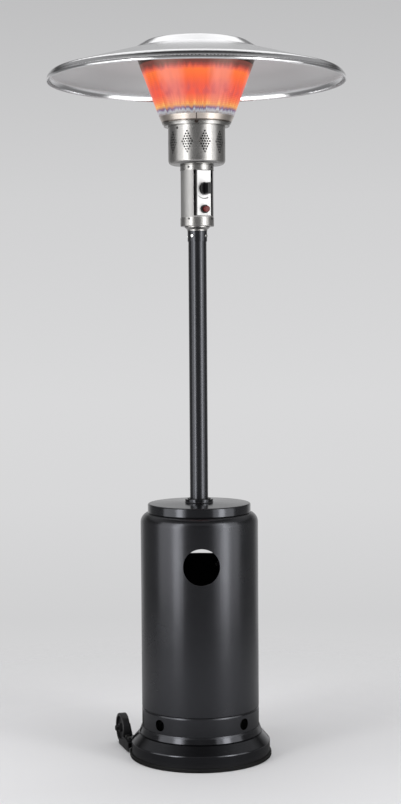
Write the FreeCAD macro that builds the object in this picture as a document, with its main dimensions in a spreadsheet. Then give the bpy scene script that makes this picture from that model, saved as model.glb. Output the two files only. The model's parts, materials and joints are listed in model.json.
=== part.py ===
import FreeCAD, Part
import math
import operator
import os
import types

import Sketcher

# Gas patio heater. Millimetres and degrees, +Z up, origin at the centre of the base on the floor.
# Front is -Y, the wheels are behind at +Y. The bottle housing and the head are each turned on the pole.
# Angles round the pole count from the front towards +X.

SIZES = {
    # Base pan, its edging and its ballast
    "base_radius": 223.5,
    "base_wall": 2.0,
    "skirt_height": 48.0,
    "shoulder_round": 5.0,
    "shoulder_radius": 199.0,
    "shoulder_height": 76.0,
    "bead_set_back": 2.0,
    "bead_lift": 4.0,
    "bead_overhang": 2.0,
    "seat_radius": 189.5,
    "seat_height": 100.0,
    "seat_width": 5.5,
    "floor_depth": 10.0,
    "floor_step": 2.0,
    "trim_radius": 228.5,
    "trim_height": 12.0,
    "trim_web": 3.0,
    "trim_inner_wall": 3.5,
    "trim_inner_height": 10.0,
    "trim_round": 2.0,
    "weight_radius": 180.0,
    "weight_bore": 60.0,
    "weight_thickness": 30.0,
    # Wheel kit
    "strap_wall": 4.0,
    "strap_foot": 15.0,
    "strap_top": 40.0,
    "strap_sweep": 132.0,
    "ear_front": 92.0,
    "ear_back": 146.0,
    "arm_wall": 4.0,
    "arm_foot": 4.0,
    "arm_front": 80.0,
    "arm_bend_start": 112.0,
    "arm_bend_end": 142.0,
    "arm_outer_face": 223.0,
    "arm_wing_end": 192.0,
    "arm_wing_height": 18.0,
    "arm_lug_radius": 16.0,
    "arm_hole_inset": 13.0,
    "axle_offset": 200.0,
    "axle_height": 54.0,
    "axle_radius": 6.0,
    "axle_end": 8.0,
    "axle_head_radius": 10.0,
    "axle_head": 4.0,
    "wheel_track": 206.0,
    "wheel_radius": 48.0,
    "wheel_width": 24.0,
    "wheel_rim": 9.0,
    "wheel_round": 3.0,
    "wheel_web": 8.0,
    "hub_radius": 14.0,
    "hub_extra": 1.0,
    "wheel_side_gap": 0.3,
    "washer_radius": 11.0,
    "washer_thickness": 3.0,
    "cap_nut_radius": 9.0,
    "cap_nut_length": 12.0,
    # Frame inside the housing
    "post_circle": 172.0,
    "post_radius": 8.0,
    "post_front_angle": 78.0,
    "post_back_angle": 140.0,
    "carrier_drop": 37.0,
    "carrier_thickness": 4.0,
    "carrier_side_gap": 0.6,
    "carrier_rim": 10.0,
    "carrier_rim_wall": 2.0,
    "carrier_window_radius": 34.0,
    "carrier_window_circle": 110.0,
    "socket_flange_radius": 60.0,
    "socket_flange": 6.0,
    "socket_bolt_circle": 46.0,
    "socket_length": 90.0,
    "socket_wall": 3.0,
    "retainer_foot": 560.0,
    "retainer_height": 69.0,
    "retainer_wall": 2.5,
    "retainer_overhang": 3.0,
    "bolt_radius": 4.0,
    "bolt_head_radius": 7.5,
    "bolt_head": 5.5,
    "bolt_thread": 20.0,
    # Bottle housing and lid
    "housing_turn": -16.0,
    "housing_radius": 188.4,
    "housing_wall": 1.2,
    "housing_height": 687.0,
    "housing_round": 32.0,
    "ledge_bore": 150.0,
    "groove_height": 58.0,
    "groove_half": 4.0,
    "groove_depth": 1.8,
    "vent_radius": 18.3,
    "vent_height": 27.0,
    "hand_hole_radius": 57.5,
    "hand_hole_height": 534.0,
    "lid_radius": 165.0,
    "lid_wall": 1.2,
    "lid_skirt": 27.5,
    "lid_round": 5.0,
    "lid_collar_round": 3.0,
    "lid_rise": 4.0,
    "lid_spigot": 6.0,
    "lid_collar_radius": 45.0,
    "lid_collar": 10.0,
    "bush_radius": 34.0,
    "bush_lip": 3.0,
    "bush_length": 20.0,
    "bush_lip_height": 2.0,
    "rest_gap": 0.3,
    "slide_gap": 0.3,
    # Pole and gas pipe
    "pole_radius": 29.0,
    "pole_wall": 2.0,
    "pole_length": 923.0,
    "sleeve_wall": 2.0,
    "sleeve_length": 33.0,
    "sleeve_bolt_drop": 16.0,
    "sleeve_bolt_head_radius": 5.0,
    "sleeve_bolt_head": 3.5,
    "sleeve_bolt_radius": 2.5,
    "sleeve_bolt_tail": 2.0,
    "pipe_radius": 5.0,
    "pipe_wall": 1.0,
    "inlet_radius": 9.0,
    "inlet_reach": 18.0,
    "inlet_hex": 13.0,
    "inlet_hex_length": 8.0,
    "inlet_rise": 10.0,
    "inlet_bore": 3.0,
    # Neck and control box
    "head_turn": 11.0,
    "neck_radius": 32.0,
    "neck_flange_radius": 40.0,
    "neck_height": 14.0,
    "neck_flange": 3.0,
    "neck_collar": 4.0,
    "neck_spigot": 43.0,
    "neck_wall": 2.0,
    "control_radius": 52.0,
    "control_wall": 1.2,
    "control_height": 194.0,
    "control_plate": 2.0,
    "control_base_rim": 28.0,
    "control_top_rim": 18.0,
    "control_rim_wall": 1.4,
    "window_half_width": 34.0,
    "window_foot": 32.0,
    "window_height": 144.0,
    "screw_radius": 1.6,
    "screw_head_radius": 3.2,
    "screw_head": 1.8,
    "screw_grip": 1.0,
    "base_screw_height": 23.0,
    "top_screw_drop": 9.0,
    "screw_angle": -58.0,
    "panel_distance": 45.2,
    "panel_half_width": 24.6,
    "panel_wall": 1.5,
    "panel_side": 14.0,
    "panel_margin": 1.0,
    "dial_half_width": 23.8,
    "dial_thickness": 0.8,
    # Gas valve, knob and igniter
    "knob_height": 117.0,
    "valve_half_width": 18.0,
    "valve_half_height": 24.0,
    "valve_back": 11.0,
    "valve_boss_radius": 9.0,
    "valve_boss_length": 4.0,
    "valve_port_radius": 8.5,
    "valve_port": 16.0,
    "spindle_radius": 4.0,
    "spindle_flat": 2.6,
    "plunger_length": 6.0,
    "plunger_gap": 0.3,
    "valve_bore_relief": 1.5,
    "spindle_inner": 23.0,
    "running_gap": 0.05,
    "knob_radius": 20.4,
    "knob_gap": 5.4,
    "knob_skirt": 9.0,
    "knob_face": 2.0,
    "knob_taper": 1.4,
    "knob_round": 1.0,
    "knob_recess": 2.8,
    "knob_recess_radius": 15.0,
    "knob_grip_width": 12.0,
    "knob_grip": 22.0,
    "knob_push": 5.0,
    "pointer_width": 1.6,
    "pointer_depth": 0.8,
    "igniter_height": 53.0,
    "igniter_radius": 11.2,
    "igniter_inner": 9.0,
    "igniter_shoulder": 2.0,
    "igniter_shoulder_length": 4.0,
    "igniter_thread": 3.0,
    "bezel_radius": 13.4,
    "bezel_length": 9.0,
    "bezel_round": 1.0,
    "button_radius": 9.6,
    "button_reach": 22.0,
    "button_depth": 10.0,
    "button_push": 6.0,
    "button_relief": 1.0,
    "button_dome": 2.0,
    "button_clearance": 0.08,
    "tilt_width": 22.0,
    "tilt_depth": 12.0,
    "tilt_height": 18.0,
    # Burner cup and burner
    "cup_turn": -1.5,
    "cup_radius": 90.7,
    "cup_wall": 1.0,
    "cup_height": 121.0,
    "cup_round": 14.0,
    "cup_bore": 26.0,
    "air_hole_radius": 2.3,
    "air_hole_pitch": 8.05,
    "air_hole_rise": 8.0,
    "air_group_rows": 5,
    "air_group_count": 10,
    "air_group_height": 67.0,
    "injector_radius": 7.0,
    "injector_length": 14.0,
    "mixer_radius": 22.0,
    "mixer_wall": 1.5,
    "mixer_throat": 12.0,
    "mixer_throat_length": 26.0,
    "mixer_dip": 6.0,
    "mixer_flange_radius": 34.0,
    "burner_radius": 58.0,
    "burner_depth": 18.0,
    "burner_wall": 1.5,
    "burner_drop": 6.0,
    "burner_port_radius": 2.5,
    "burner_port_circle": 48.0,
    "burner_port_count": 24,
    "pilot_radius": 5.0,
    "pilot_circle": 68.0,
    "pilot_angle": -60.0,
    "pilot_length": 112.0,
    "probe_radius": 3.0,
    "probe_spread": 9.0,
    "probe_length": 116.0,
    "sight_hole_radius": 3.2,
    "sight_hole_drop": 10.0,
    # Emitter
    "flange_radius": 104.5,
    "flange_wall": 1.5,
    "flange_rise": 9.0,
    "flange_lip": 108.5,
    "flange_spigot": 8.0,
    "band_turn": -18.0,
    "band_height": 21.0,
    "band_top_radius": 118.0,
    "emitter_wall": 1.2,
    "seam_sweep": 6.0,
    "seam_tab": 8.0,
    "screen_height": 161.0,
    "screen_top_radius": 179.0,
    "ring_height": 17.0,
    "ring_top_radius": 185.0,
    "ring_flange": 26.0,
    "cap_flat_radius": 75.0,
    "cap_rise": 10.0,
    # Reflector
    "reflector_wall": 1.2,
    "rim_radius": 472.6,
    "dome_gap": 52.2,
    "rim_lip_share": 0.82,
    "rim_round": 28.0,
    "hem_wall": 2.6,
    "hem_height": 2.0,
    "crease_radius": 207.4,
    "skirt_slope": 0.2768,
    "flank_radius": 160.0,
    "flank_step": 29.6,
    "flank_round": 45.0,
    "crease_round": 12.0,
    "dome_step": 5.6,
    "dome_flat_radius": 75.0,
    "stud_circle": 51.0,
    "stud_radius": 4.0,
    "stud_shoulder_radius": 8.0,
    "stud_count": 3,
    "stud_turn": 6.0,
    "stud_nut_radius": 8.0,
    "stud_nut_height": 7.0,
    "stud_tail": 4.0,
    "stud_foot": 6.0,
    # Clearances between pieces that are joined
    "fit_gap": 0.1,
    "hole_gap": 0.3,
}

V = FreeCAD.Vector
UP = V(0, 0, 1)
doc = FreeCAD.newDocument("PatioHeater")
sheet = doc.addObject("Spreadsheet::Sheet", "Sizes")
for row, (alias, number) in enumerate(SIZES.items(), start=1):
    sheet.set(f"A{row}", alias)
    sheet.set(f"B{row}", str(number))
    sheet.setAlias(f"B{row}", alias)
doc.recompute()


class Dim:
    """A size: its value, and the sheet expression that keeps an object bound to it."""

    def __init__(self, value, text):
        self.value = value
        self.text = text

    def __add__(self, other):
        return joined(operator.add, "+", self, other)

    def __sub__(self, other):
        return joined(operator.sub, "-", self, other)

    def __mul__(self, other):
        return joined(operator.mul, "*", self, other)

    def __truediv__(self, other):
        return joined(operator.truediv, "/", self, other)


def joined(action, sign, left, right):
    right = right if isinstance(right, Dim) else Dim(right, str(right))
    return Dim(action(left.value, right.value), f"({left.text} {sign} {right.text})")


d = types.SimpleNamespace(**{alias: Dim(number, f"Sizes.{alias}") for alias, number in SIZES.items()})
nodes = {}
# Two edges this close (mm) are the same edge
SAME_EDGE = 0.001


def bind(item, **sizes):
    for prop, dim in sizes.items():
        item.setExpression(prop, f"{dim.text} * 1 mm")
    return item


def named(node, item):
    """Make an object the finished piece of that name."""
    item.Label = node
    nodes[node] = item
    return item


def turn_about_pole(angle):
    return FreeCAD.Placement(V(), FreeCAD.Rotation(UP, angle))


def pointing(position, direction):
    return FreeCAD.Placement(position, FreeCAD.Rotation(UP, direction))


def round_pole(radius, angle, height):
    """The point at an angle round the pole, counted from the front towards +X."""
    bearing = math.radians(angle)
    return V(radius * math.sin(bearing), -radius * math.cos(bearing), height)


def outward(angle):
    return round_pole(1, angle, 0)


HEAD = turn_about_pole(d.head_turn.value)
HOUSING = turn_about_pole(d.housing_turn.value)


def on_panel(height):
    """Frame of a piece on the control panel: its Z points out of the panel, measured from the pole axis."""
    return HEAD.multiply(FreeCAD.Placement(V(0, 0, height), FreeCAD.Rotation(V(1, 0, 0), 90)))


def origin_plane(body, role):
    return next(item for item in body.Origin.OriginFeatures if item.Role == role)


def new_body(name):
    body = doc.addObject("PartDesign::Body", name)
    body.AllowCompound = True
    return body


def sketch_on(body, role, name):
    sketch = body.newObject("Sketcher::SketchObject", name)
    sketch.AttachmentSupport = [(origin_plane(body, role), "")]
    sketch.MapMode = "FlatFace"
    return sketch


def place_point(sketch, line, end, across, along):
    """Hold one point of a sketch at a pair of sizes; plain 0 keeps it on the axis."""
    for kind, axis, dim in (("DistanceX", -2, across), ("DistanceY", -1, along)):
        if not isinstance(dim, Dim):
            sketch.addConstraint(Sketcher.Constraint("PointOnObject", line, end, axis))
            continue
        index = sketch.addConstraint(Sketcher.Constraint(kind, -1, 1, line, end, dim.value))
        sketch.setExpression(f"Constraints[{index}]", f"{dim.text} * 1 mm")


def number_of(dim):
    return dim.value if isinstance(dim, Dim) else dim


def draw_outline(sketch, corners):
    spots = [V(number_of(across), number_of(along), 0) for across, along in corners]
    first = sketch.GeometryCount
    count = len(spots)
    for index in range(count):
        sketch.addGeometry(Part.LineSegment(spots[index], spots[(index + 1) % count]))
    for index in range(count):
        following = first + (index + 1) % count
        sketch.addConstraint(Sketcher.Constraint("Coincident", first + index, 2, following, 1))
    for index, (across, along) in enumerate(corners):
        place_point(sketch, first + index, 1, across, along)


def ring_edges(shape, rings):
    """Names of the circular edges round the Z axis that have one of the given (radius, height) pairs."""
    found = []
    for index, edge in enumerate(shape.Edges, start=1):
        if not isinstance(edge.Curve, Part.Circle):
            continue
        here = (edge.Curve.Radius, edge.Curve.Center.z)
        for ring in rings:
            if math.dist(here, [number_of(dim) for dim in ring]) < SAME_EDGE:
                found.append(f"Edge{index}")
    return found


def round_rings(body, rounds):
    """Round circular edges: each entry is a radius and the (radius, height) pairs of the edges."""
    for dim, rings in rounds:
        doc.recompute()
        base = body.Tip
        fillet = body.newObject("PartDesign::Fillet", f"{body.Name}_round")
        fillet.Base = (base, ring_edges(base.Shape, rings))
        bind(fillet, Radius=dim)


def spun(name, corners, rounds=(), place=None, sweep=None):
    """A body turned or spun round its Z axis from an outline of (radius, height) corners."""
    body = new_body(name)
    sketch = sketch_on(body, "XZ_Plane", f"{name}_outline")
    draw_outline(sketch, corners)
    spin = body.newObject("PartDesign::Revolution", f"{name}_turned")
    spin.Profile = sketch
    spin.ReferenceAxis = (sketch, ["V_Axis"])
    spin.Angle = 360
    if sweep is not None:
        spin.Midplane = True
        spin.setExpression("Angle", f"{sweep.text} * 1 deg")
    round_rings(body, rounds)
    if place is not None:
        body.Placement = place
    return body


def turned(node, corners, rounds=(), place=None, sweep=None):
    """A finished piece that is only turned or spun."""
    return named(node, spun(node, corners, rounds, place, sweep))


def tube(node, outer, inner, foot, top):
    return turned(node, [(inner, foot), (outer, foot), (outer, top), (inner, top)])


def rod(name, radius, length, place):
    item = doc.addObject("Part::Cylinder", name)
    bind(item, Radius=radius, Height=length)
    item.Placement = place
    return item


def block(name, corner, across, deep, tall, place=None):
    """A box from its low corner (three sizes) and its three lengths."""
    item = doc.addObject("Part::Box", name)
    bind(item, Length=across, Width=deep, Height=tall)
    low = FreeCAD.Placement(V(*[number_of(dim) for dim in corner]), FreeCAD.Rotation())
    item.Placement = low if place is None else place.multiply(low)
    return item


def cut(node, base, tools):
    """Take tools away from a piece and give the result the piece's name."""
    tool = tools[0]
    if len(tools) > 1:
        tool = doc.addObject("Part::Compound", f"{node}_cutters")
        tool.Links = tools
    result = doc.addObject("Part::Cut", f"{node}_cut")
    result.Base = base
    result.Tool = tool
    base.Label = f"{node}_blank"
    return named(node, result)


def fused(node, pieces):
    result = doc.addObject("Part::MultiFuse", f"{node}_whole")
    result.Shapes = pieces
    return named(node, result)


def drilled(node, base, holes):
    """Drill holes: each is a placement (its Z runs along the hole), a radius and a length."""
    tools = [rod(f"{node}_hole", radius, length, place) for place, radius, length in holes]
    return cut(node, base, tools)


def bolt(name, place, length, head_radius, head, radius, sides=6):
    """A bolt whose head sits on the placement's plane, shank down its -Z."""
    if sides:
        top = doc.addObject("Part::Prism", f"{name}_head")
        top.Polygon = sides
        bind(top, Circumradius=head_radius, Height=head)
    else:
        top = rod(f"{name}_head", head_radius, head, FreeCAD.Placement())
    shank = rod(f"{name}_shank", radius, length, pointing(V(), V(0, 0, -1)))
    whole = doc.addObject("Part::MultiFuse", name)
    whole.Shapes = [top, shank]
    whole.Placement = place
    return whole


def grouped(node, items):
    group = doc.addObject("Part::Compound", f"{node}_group")
    group.Links = items
    return named(node, group)


def frame_bolt(place, length):
    return bolt("m8", place, length, d.bolt_head_radius, d.bolt_head, d.bolt_radius)


# Heights that several pieces share
floor_top = d.seat_height - d.floor_depth
floor_under = floor_top - d.base_wall
ledge_top = d.seat_height + d.housing_height
carrier_height = ledge_top - d.carrier_drop
post_length = carrier_height - floor_top
carrier_top = carrier_height + d.carrier_thickness
pole_foot = carrier_top + d.socket_flange
pole_top = pole_foot + d.pole_length
lid_top = ledge_top + d.lid_skirt
collar_top = lid_top + d.lid_rise + d.lid_collar
neck_top = pole_top + d.neck_height
control_floor = neck_top + d.control_plate
control_top = neck_top + d.control_height
cup_top = control_top + d.cup_height
band_foot = cup_top + d.flange_rise
screen_foot = band_foot + d.band_height
ring_foot = screen_foot + d.screen_height
cap_seat = ring_foot + d.ring_height
cap_top = cap_seat + d.cap_rise + d.emitter_wall
post_angles = [
    d.post_front_angle.value,
    d.post_back_angle.value,
    -d.post_back_angle.value,
    -d.post_front_angle.value,
]
bolt_hole = d.bolt_radius + d.hole_gap


def holes_up(circle, angles, radius):
    """Upright holes on a circle round the pole, from the floor to above the carrier plate."""
    return [(pointing(round_pole(circle.value, angle, 0), UP), radius, pole_foot) for angle in angles]


# Base pan: one spun sheet from the skirt over the shoulder and the seat ring to the bottle floor
seat_inner = d.seat_radius - d.seat_width
floor_radius = seat_inner - d.floor_step
bead_radius = d.shoulder_radius - d.bead_set_back
bead_height = d.shoulder_height + d.bead_lift
groove_radius = bead_radius - d.bead_overhang
pan = turned(
    "base_pan",
    [
        (d.base_radius, d.trim_web),
        (d.base_radius, d.skirt_height),
        (d.shoulder_radius, d.shoulder_height),
        (groove_radius, d.shoulder_height),
        (bead_radius, bead_height),
        (d.seat_radius, d.seat_height),
        (seat_inner, d.seat_height),
        (floor_radius, floor_top),
        (0, floor_top),
        (0, floor_under),
        (floor_radius + d.base_wall, floor_under),
        (seat_inner + d.base_wall, d.seat_height - d.base_wall),
        (d.seat_radius - d.base_wall, d.seat_height - d.base_wall),
        (groove_radius - d.base_wall, d.shoulder_height - d.base_wall / 2),
        (d.shoulder_radius - d.base_wall, d.shoulder_height - d.base_wall),
        (d.base_radius - d.base_wall, d.skirt_height - d.base_wall / 2),
        (d.base_radius - d.base_wall, d.trim_web),
    ],
    [
        (d.shoulder_round, [(d.base_radius, d.skirt_height)]),
        (
            d.shoulder_round - d.base_wall,
            [(d.base_radius - d.base_wall, d.skirt_height - d.base_wall / 2)],
        ),
    ],
)
strap_bolt_height = (d.strap_foot + d.strap_top) / 2
strap_bolt_angles = [140, 180, 220]
strap_holes = [
    (
        pointing(round_pole(d.weight_bore.value, angle, strap_bolt_height.value), outward(angle)),
        bolt_hole,
        d.base_radius,
    )
    for angle in strap_bolt_angles
]
drilled("base_pan", pan, holes_up(d.post_circle, post_angles, bolt_hole) + strap_holes)

trim_groove_inner = d.base_radius - d.base_wall
turned(
    "base_trim",
    [
        (trim_groove_inner - d.trim_inner_wall, 0),
        (d.trim_radius, 0),
        (d.trim_radius, d.trim_height),
        (d.base_radius, d.trim_height),
        (d.base_radius, d.trim_web),
        (trim_groove_inner, d.trim_web),
        (trim_groove_inner, d.trim_inner_height),
        (trim_groove_inner - d.trim_inner_wall, d.trim_inner_height),
    ],
    [(d.trim_round, [(d.trim_radius, d.trim_height), (d.trim_radius, 0)])],
)

weight_foot = floor_under - d.weight_thickness
weight = tube("base_weight", d.weight_radius, d.weight_bore, weight_foot, floor_under)
drilled("base_weight", weight, holes_up(d.post_circle, post_angles, bolt_hole))

# Wheel kit: a strap round the back of the skirt with two ears, a bent arm bolted on each ear
strap_outer = d.base_radius + d.strap_wall
strap = spun(
    "strap_hoop",
    [
        (d.base_radius, d.strap_foot),
        (strap_outer, d.strap_foot),
        (strap_outer, d.strap_top),
        (d.base_radius, d.strap_top),
    ],
    place=turn_about_pole(90),
    sweep=d.strap_sweep,
)
ear_length = d.ear_back - d.ear_front
ears = []
for low_side in (d.arm_outer_face * -1, 0):
    corner = (low_side, d.ear_front, d.strap_top - d.strap_wall)
    ears.append(block("ear", corner, d.arm_outer_face, ear_length, d.strap_wall))
skirt_round = rod("skirt_round", d.base_radius, d.seat_height, FreeCAD.Placement())
strap_and_ears = fused("wheel_strap", [strap] + ears)
arm_bolt_side = d.arm_outer_face - d.arm_hole_inset
arm_bolt_spots = [
    V(side * arm_bolt_side.value, along.value, d.strap_top.value)
    for side in (-1, 1)
    for along in (d.ear_front + d.arm_hole_inset, d.ear_back - d.arm_hole_inset)
]
strap_cutters = [skirt_round]
strap_cutters += [
    rod("ear_hole", bolt_hole, d.seat_height, pointing(V(spot.x, spot.y, 0), UP)) for spot in arm_bolt_spots
]
strap_cutters += [rod("strap_hole", radius, length, place) for place, radius, length in strap_holes]
cut("wheel_strap", strap_and_ears, strap_cutters)

wheel_inner_face = d.wheel_track - d.wheel_width / 2 - d.hub_extra
wheel_outer_face = d.wheel_track + d.wheel_width / 2 + d.hub_extra
arm_inner_outer = wheel_inner_face - d.wheel_side_gap - d.washer_thickness
arm_back = d.axle_offset + d.arm_lug_radius
arm_flange_inner = arm_bolt_side - d.arm_hole_inset
arm_top = d.strap_top - d.strap_wall
lug_top = d.axle_height + d.arm_lug_radius
axle_centre = V(0, d.axle_offset.value, d.axle_height.value)


def on_axle(side, distance):
    """Frame on the axle, Z outwards on the given side."""
    return pointing(axle_centre + V(side * number_of(distance), 0, 0), V(side, 0, 0))


def wheel_arm(node, mirror):
    """Bent plate: a flanged front under the ear, an inward bend with the axle lug, a wing by the wheel."""
    body = new_body(node)
    plan = sketch_on(body, "XY_Plane", f"{node}_plan")
    draw_outline(
        plan,
        [
            (d.arm_outer_face, d.arm_front),
            (d.arm_outer_face, d.arm_bend_start),
            (arm_inner_outer, d.arm_bend_end),
            (arm_inner_outer, arm_back),
            (arm_inner_outer - d.arm_wall, arm_back),
            (arm_inner_outer - d.arm_wall, d.arm_bend_end - d.arm_wall / 2),
            (d.arm_outer_face - d.arm_wall, d.arm_bend_start - d.arm_wall / 2),
            (d.arm_outer_face - d.arm_wall, d.arm_front),
        ],
    )
    wall = body.newObject("PartDesign::Pad", f"{node}_wall")
    wall.Profile = plan
    bind(wall, Length=lug_top)
    doc.recompute()
    side = sketch_on(body, "YZ_Plane", f"{node}_side")
    draw_outline(
        side,
        [
            (d.arm_front - d.arm_wall, arm_top),
            (d.ear_back + d.arm_wall, arm_top),
            (d.axle_offset - d.arm_lug_radius, lug_top),
            (d.axle_offset - d.arm_lug_radius, lug_top + d.arm_wall),
            (d.arm_front - d.arm_wall, lug_top + d.arm_wall),
        ],
    )
    draw_outline(
        side,
        [
            (d.arm_front - d.arm_wall, 0),
            (arm_back + d.arm_wall, 0),
            (arm_back + d.arm_wall, d.axle_height - d.arm_lug_radius),
            (arm_back, d.axle_height - d.arm_lug_radius),
            (d.arm_bend_end, d.arm_foot),
            (d.arm_front - d.arm_wall, d.arm_foot),
        ],
    )
    taper = body.newObject("PartDesign::Pocket", f"{node}_taper")
    taper.Profile = side
    taper.Type = 1
    taper.Midplane = True
    doc.recompute()
    flange = block(
        f"{node}_flange",
        (arm_flange_inner, d.arm_front, arm_top - d.arm_wall),
        d.arm_outer_face - arm_flange_inner,
        d.ear_back - d.arm_front,
        d.arm_wall,
    )
    wing = doc.addObject("Part::Wedge", f"{node}_wing")
    bind(wing, Xmin=d.arm_outer_face - d.arm_wall, Xmax=d.arm_outer_face)
    bind(wing, X2min=d.arm_outer_face - d.arm_wall, X2max=d.arm_outer_face)
    bind(wing, Ymin=d.arm_bend_start, Ymax=d.arm_wing_end)
    bind(wing, Zmin=d.arm_foot, Zmax=arm_top)
    bind(wing, Z2min=d.arm_foot, Z2max=d.arm_foot + d.arm_wing_height)
    whole = fused(node, [body, flange, wing])
    cutters = [
        rod(f"{node}_hole", bolt_hole, d.seat_height, pointing(V(abs(spot.x), spot.y, 0), UP))
        for spot in arm_bolt_spots[2:]
    ]
    axle_hole = d.axle_radius + d.hole_gap
    cutters.append(rod(f"{node}_axle_hole", axle_hole, d.wheel_track, on_axle(1, 0)))
    cutters.append(rod(f"{node}_strap", strap_outer + d.hole_gap, d.seat_height, FreeCAD.Placement()))
    right = cut(node, whole, cutters)
    if mirror:
        left = doc.addObject("Part::Mirroring", f"{node}_mirrored")
        left.Source = right
        left.Normal = V(1, 0, 0)
        right.Label = f"{node}_right_hand"
        named(node, left)


wheel_arm("wheel_arm_right", False)
wheel_arm("wheel_arm_left", True)

axle_seat = arm_inner_outer - d.arm_wall
axle_length = wheel_outer_face + d.wheel_side_gap + d.axle_end - axle_seat
stub_axles = []
washers = []
cap_nuts = []
for side in (-1, 1):
    stub_head = rod("axle_head", d.axle_head_radius, d.axle_head, on_axle(side, axle_seat - d.axle_head))
    stub = rod("axle_shank", d.axle_radius, axle_length, on_axle(side, axle_seat))
    stub_axle = doc.addObject("Part::MultiFuse", "stub_axle")
    stub_axle.Shapes = [stub_head, stub]
    stub_axles.append(stub_axle)
    ring = rod("washer", d.washer_radius, d.washer_thickness, on_axle(side, arm_inner_outer))
    bore = rod("washer_bore", d.axle_radius, d.washer_thickness, on_axle(side, arm_inner_outer))
    washer = doc.addObject("Part::Cut", "axle_washer")
    washer.Base = ring
    washer.Tool = bore
    washers.append(washer)
    nut_place = on_axle(side, wheel_outer_face + d.wheel_side_gap)
    shell = doc.addObject("Part::Prism", "cap_nut_hex")
    shell.Polygon = 6
    bind(shell, Circumradius=d.cap_nut_radius, Height=d.cap_nut_length)
    shell.Placement = nut_place
    bore = rod("cap_nut_bore", d.axle_radius, d.axle_end, nut_place)
    nut = doc.addObject("Part::Cut", "cap_nut")
    nut.Base = shell
    nut.Tool = bore
    cap_nuts.append(nut)
grouped("stub_axles", stub_axles)
grouped("axle_washers", washers)
grouped("axle_cap_nuts", cap_nuts)

carriage_bolts = [
    frame_bolt(pointing(spot, UP), d.arm_wall + d.strap_wall + d.bolt_head) for spot in arm_bolt_spots
]
carriage_bolts += [
    frame_bolt(
        pointing(round_pole(strap_outer.value, angle, strap_bolt_height.value), outward(angle)),
        d.strap_wall + d.base_wall + d.bolt_head,
    )
    for angle in strap_bolt_angles
]
grouped("carriage_bolts", carriage_bolts)

wheel_bore = d.axle_radius + d.running_gap
half_width = d.wheel_width / 2
half_web = d.wheel_web / 2
half_hub = half_width + d.hub_extra
rim_inner = d.wheel_radius - d.wheel_rim
for side, node in ((-1, "wheel_left"), (1, "wheel_right")):
    turned(
        node,
        [
            (wheel_bore, d.wheel_track - half_hub),
            (d.hub_radius, d.wheel_track - half_hub),
            (d.hub_radius, d.wheel_track - half_web),
            (rim_inner, d.wheel_track - half_web),
            (rim_inner, d.wheel_track - half_width),
            (d.wheel_radius, d.wheel_track - half_width),
            (d.wheel_radius, d.wheel_track + half_width),
            (rim_inner, d.wheel_track + half_width),
            (rim_inner, d.wheel_track + half_web),
            (d.hub_radius, d.wheel_track + half_web),
            (d.hub_radius, d.wheel_track + half_hub),
            (wheel_bore, d.wheel_track + half_hub),
        ],
        [
            (d.wheel_round, [(d.wheel_radius, d.wheel_track - half_width)]),
            (d.wheel_round, [(d.wheel_radius, d.wheel_track + half_width)]),
        ],
        place=on_axle(side, 0),
    )

# Frame: four posts on the floor, the carrier plate, the pole socket and the bottle retainer
retainer_bolt_height = d.retainer_foot + d.retainer_height / 2
tapped = d.bolt_radius
for index, angle in enumerate(post_angles, start=1):
    node = f"support_post_{index}"
    foot = round_pole(d.post_circle.value, angle, floor_top.value)
    post = named(node, rod(node, d.post_radius, post_length, pointing(foot, UP)))
    top = foot + V(0, 0, (post_length - d.bolt_thread).value)
    side_spot = round_pole(0, angle, retainer_bolt_height.value)
    drilled(
        node,
        post,
        [
            (pointing(foot, UP), tapped, d.bolt_thread),
            (pointing(top, UP), tapped, d.bolt_thread),
            (pointing(side_spot, outward(angle)), tapped, d.post_circle + d.post_radius / 2),
        ],
    )
grouped(
    "base_bolts",
    [
        frame_bolt(
            pointing(round_pole(d.post_circle.value, angle, weight_foot.value), V(0, 0, -1)),
            d.weight_thickness + d.base_wall + d.bolt_thread,
        )
        for angle in post_angles
    ],
)

inlet_hole = d.inlet_radius + d.hole_gap
carrier_rim_inner = d.post_circle + d.post_radius + d.carrier_side_gap
carrier_radius = carrier_rim_inner + d.carrier_rim_wall
carrier = turned(
    "pole_carrier",
    [
        (inlet_hole, carrier_height),
        (carrier_rim_inner, carrier_height),
        (carrier_rim_inner, carrier_height - d.carrier_rim),
        (carrier_radius, carrier_height - d.carrier_rim),
        (carrier_radius, carrier_top),
        (inlet_hole, carrier_top),
    ],
)
socket_bolt_angles = [45, 135, 225, 315]
window_angles = [0, 60, 120, 180, 240, 300]
carrier_holes = holes_up(d.post_circle, post_angles, bolt_hole)
carrier_holes += holes_up(d.socket_bolt_circle, socket_bolt_angles, bolt_hole)
carrier_holes += holes_up(d.carrier_window_circle, window_angles, d.carrier_window_radius)
drilled("pole_carrier", carrier, carrier_holes)

pole_inner = d.pole_radius - d.pole_wall
socket_radius = pole_inner - d.fit_gap
socket = turned(
    "pole_socket",
    [
        (socket_radius - d.socket_wall, carrier_top),
        (d.socket_flange_radius, carrier_top),
        (d.socket_flange_radius, pole_foot),
        (socket_radius, pole_foot),
        (socket_radius, pole_foot + d.socket_length),
        (socket_radius - d.socket_wall, pole_foot + d.socket_length),
    ],
)
drilled("pole_socket", socket, holes_up(d.socket_bolt_circle, socket_bolt_angles, bolt_hole))

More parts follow.
